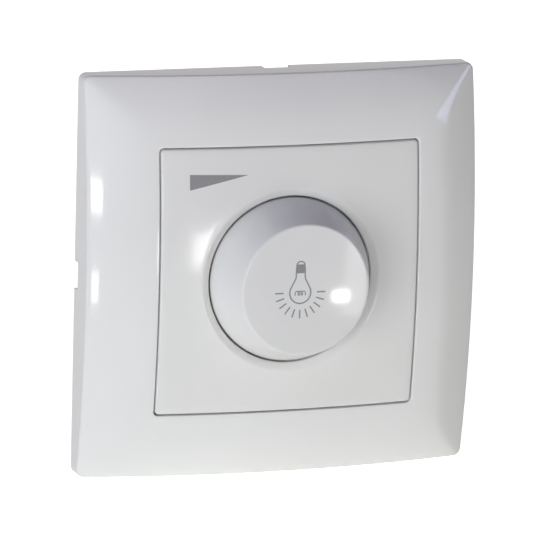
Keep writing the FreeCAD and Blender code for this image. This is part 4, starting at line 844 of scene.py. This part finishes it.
# %% The lamp on the knob
LAMP_X, LAMP_Z, GLASS_RADIUS, LINE = -1.29, -0.39, 2.19, 0.28
CROWN = {"Dome radius": FACE_RADIUS ** 2 / (2 * SAG), "Dome rise": SAG - FACE_Y,
         "Margin radius": 90.0, "Knee": 100.0, "Mitre softness": 0.0}
arc = [math.radians(t) for t in np.linspace(150, 390, 41)]
glass_line = ([(-0.93, 4.0), (-0.93, 3.2), (-1.05, 2.72)]
              + [(GLASS_RADIUS * math.cos(t), GLASS_RADIUS * math.sin(t)) for t in arc]
              + [(1.05, 2.72), (0.93, 3.2), (0.93, 4.0)])
curl = [math.tau * t for t in np.linspace(0, 3, 55)]
filament = [(-0.95 + 0.1 * t - 0.3 * math.sin(t), -0.1 - 0.42 * math.cos(t)) for t in curl]
cap = [(0.0, z) for z in (3.95, 4.5, 5.1, 5.75)]
tip = [(0.8 * math.cos(t), 5.65 + 0.68 * math.sin(t)) for t in np.linspace(0, math.pi, 17)]
strokes = [stroke([(LAMP_X + x, LAMP_Z + z) for x, z in path], widths) for path, widths in (
    (glass_line, [LINE] * len(glass_line)), (filament, [0.2] * len(filament)),
    (cap, (2.1, 2.1, 2.05, 1.85)), (tip, [LINE] * len(tip)))]
printed("lamp_print", strokes, CROWN, "knob")

# %% [markdown]
# ### Its rays
# Eleven rays stand on half a circle under the lamp. Their number, angles, radii and width are
# inputs of a tree, which marks one ray as lifted, copies it round and moves the fan to the lamp.

# %% A tree for its rays
RAY_SIZES = {"Rays": 11, "First angle": math.pi, "Last angle": math.tau, "Inner radius": 3.5,
             "Outer radius": 5.25, "Width": 0.28, "Front": INK_FRONT, "Back": INK_BACK,
             "Centre": (LAMP_X, 0.0, LAMP_Z)}
ray_tree, given = new_tree("rays_round_a_lamp", RAY_SIZES)
ray = block(ray_tree, (given["Inner radius"], given["Front"]),
            (given["Outer radius"], given["Back"]), given["Width"])
gaps_between = add(ray_tree, "ShaderNodeMath", [given["Rays"], 1.0], operation="SUBTRACT")
span = add(ray_tree, "ShaderNodeMath", [given["Last angle"], given["First angle"]],
           operation="SUBTRACT")
pitch = add(ray_tree, "ShaderNodeMath", [span.outputs[0], gaps_between.outputs[0]],
            operation="DIVIDE")
whole = add(ray_tree, "ShaderNodeMath", [pitch.outputs[0], given["Rays"]], operation="MULTIPLY")
sweep = add(ray_tree, "ShaderNodeMath", [whole.outputs[0], -1.0], operation="MULTIPLY")
begin = add(ray_tree, "ShaderNodeMath", [given["First angle"], -1.0], operation="MULTIPLY")
marked = add(ray_tree, "GeometryNodeStoreNamedAttribute",
             {"Geometry": ray, "Name": "lift", "Value": 1.0}, data_type="FLOAT")
rays = turned_copies(ray_tree, given["Rays"], marked.outputs[0], begin.outputs[0],
                     sweep.outputs[0])
moved = add(ray_tree, "GeometryNodeTransform", {"Geometry": rays,
                                                "Translation": given["Centre"]})
end_tree(ray_tree, moved.outputs[0], given["Material"])
printed("ray_print", [], CROWN, "knob", (ray_tree, {**RAY_SIZES, "Material": grey_ink}))

# %% [markdown]
# ## Threads of the claw screws
# From behind, the two screws that draw the claws out stand free of the module, and a smooth
# shank would look wrong there. The tree takes the CAD screw, draws its shank in to the root of
# the thread and winds a ridge of three sides round it, whose edge reaches the old radius. A
# helix grows along Z in Blender, so the swept ridge is laid over until it runs along Y.


# %% Sweep a profile along a helix
def wound(tree, turns, radius, height, profile, place, stops):
    """Socket with a profile swept along a helix round the Y axis, stops to the turn."""
    coil = add(tree, "GeometryNodeCurveSpiral",
               {"Resolution": stops, "Rotations": turns, "Start Radius": radius,
                "End Radius": radius, "Height": height})
    level = add(tree, "GeometryNodeSetCurveNormal", {"Curve": coil.outputs[0]}, mode="Z_UP")
    swept = add(tree, "GeometryNodeCurveToMesh",
                {"Curve": level.outputs[0], "Profile Curve": profile, "Fill Caps": True})
    return add(tree, "GeometryNodeTransform",
               {"Geometry": swept.outputs[0], "Translation": place,
                "Rotation": (-math.pi / 2, 0.0, 0.0)}).outputs[0]


print("helix helper ready")

# %% Tree that winds a thread
THREAD_SIZES = {"Centre": (0.0, 0.0, 0.0), "Shank radius": 1.45, "Root radius": 1.2,
                "From": -1.25, "Start": -0.5, "Turns": 39.5, "Pitch": 0.5, "Ridge": 0.28}
thread_tree, given = new_tree("wind_a_thread", THREAD_SIZES)
here = add(thread_tree, "GeometryNodeInputPosition")
out = add(thread_tree, "ShaderNodeVectorMath", [here.outputs[0], given["Centre"]],
          operation="SUBTRACT")
flat = add(thread_tree, "ShaderNodeVectorMath", [out.outputs[0], (1.0, 0.0, 1.0)],
           operation="MULTIPLY")
reach = add(thread_tree, "ShaderNodeVectorMath", [flat.outputs[0]], operation="LENGTH")
share = add(thread_tree, "ShaderNodeMath", [given["Root radius"], given["Shank radius"]],
            operation="DIVIDE")
less = add(thread_tree, "ShaderNodeMath", [share.outputs[0], 1.0], operation="SUBTRACT")
drawn = add(thread_tree, "ShaderNodeVectorMath", {0: flat.outputs[0], "Scale": less.outputs[0]},
            operation="SCALE")
wide = add(thread_tree, "ShaderNodeMath", [given["Shank radius"], 0.02], operation="ADD")
near = add(thread_tree, "ShaderNodeMath", [reach.outputs["Value"], wide.outputs[0]],
           operation="LESS_THAN")
deep = add(thread_tree, "ShaderNodeSeparateXYZ", [here.outputs[0]])
past = add(thread_tree, "ShaderNodeMath", [deep.outputs["Y"], given["From"]],
           operation="GREATER_THAN")
shank = add(thread_tree, "ShaderNodeMath", [near.outputs[0], past.outputs[0]],
            operation="MULTIPLY")
core = add(thread_tree, "GeometryNodeSetPosition",
           {"Geometry": given["Geometry"], "Selection": shank.outputs[0],
            "Offset": drawn.outputs["Vector"]})
height = add(thread_tree, "ShaderNodeMath", [given["Turns"], given["Pitch"]],
             operation="MULTIPLY")
middle = add(thread_tree, "ShaderNodeMath", [given["Shank radius"], given["Ridge"]],
             operation="SUBTRACT")
three_sides = add(thread_tree, "GeometryNodeCurvePrimitiveCircle",
                  {"Resolution": 3, "Radius": given["Ridge"]})
edge_out = add(thread_tree, "GeometryNodeTransform",
               {"Geometry": three_sides.outputs[0], "Rotation": (0.0, 0.0, math.pi)})
rise = add(thread_tree, "ShaderNodeCombineXYZ", {"Y": given["Start"]})
spot = add(thread_tree, "ShaderNodeVectorMath", [rise.outputs[0], given["Centre"]],
           operation="ADD")
ridge = wound(thread_tree, given["Turns"], middle.outputs[0], height.outputs[0],
              edge_out.outputs[0], spot.outputs[0], stops=28)
joined = add(thread_tree, "GeometryNodeJoinGeometry")
for part in (ridge, core.outputs[0]):
    thread_tree.links.new(part, joined.inputs[0])
end_tree(thread_tree, joined.outputs[0], given["Material"])

# %% Thread both claw screws
CLAW_SCREW_X = 22.9
for node, x in (("claw_screw_right", CLAW_SCREW_X), ("claw_screw_left", -CLAW_SCREW_X)):
    cad = NODES[node]
    points = [(cad.matrix_world @ corner.co) / MM for corner in cad.data.vertices]
    faces = [tuple(face.vertices) for face in cad.data.polygons]
    screw = grown(node + "_threaded", points, faces,
                  (thread_tree, {**THREAD_SIZES, "Centre": (x, 0.0, 0.0),
                                 "Material": zinc_screw}))
    reach = max(math.hypot(v.co.x - x, v.co.z) for v in screw.data.vertices if v.co.y > -1)
    print(node, "reaches", round(reach, 3), "mm round its axis")
    stand_for(settle(screw, zinc_screw), "screw_steel", node, node)

# %% [markdown]
# ## The return spring
# Each push on the knob squeezes this spring by 1.5 mm, and the plunger comes that much nearer.
# A rigid copy would run into it; here a wire wound by a tree stands for it: a spiral with a round
# section.

# %% Wind the spring
SPRING_SIZES = {"Radius": 2.6, "Wire radius": 0.25, "Turns": 3.05, "Front": 20.35,
                "Length": 3.35}
spring_tree, given = new_tree("wind_a_spring", SPRING_SIZES)
wire = add(spring_tree, "GeometryNodeCurvePrimitiveCircle",
           {"Resolution": 16, "Radius": given["Wire radius"]})
spot = add(spring_tree, "ShaderNodeCombineXYZ", {"Y": given["Front"]})
coil = wound(spring_tree, given["Turns"], given["Radius"], given["Length"], wire.outputs[0],
             spot.outputs[0], stops=48)
end_tree(spring_tree, coil, given["Material"])
spring = grown("return_spring_wound", [], [],
               (spring_tree, {**SPRING_SIZES, "Material": spring_wire}))
stand_for(settle(spring, spring_wire), "spring_steel", "base", "return_spring")
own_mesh(spring)
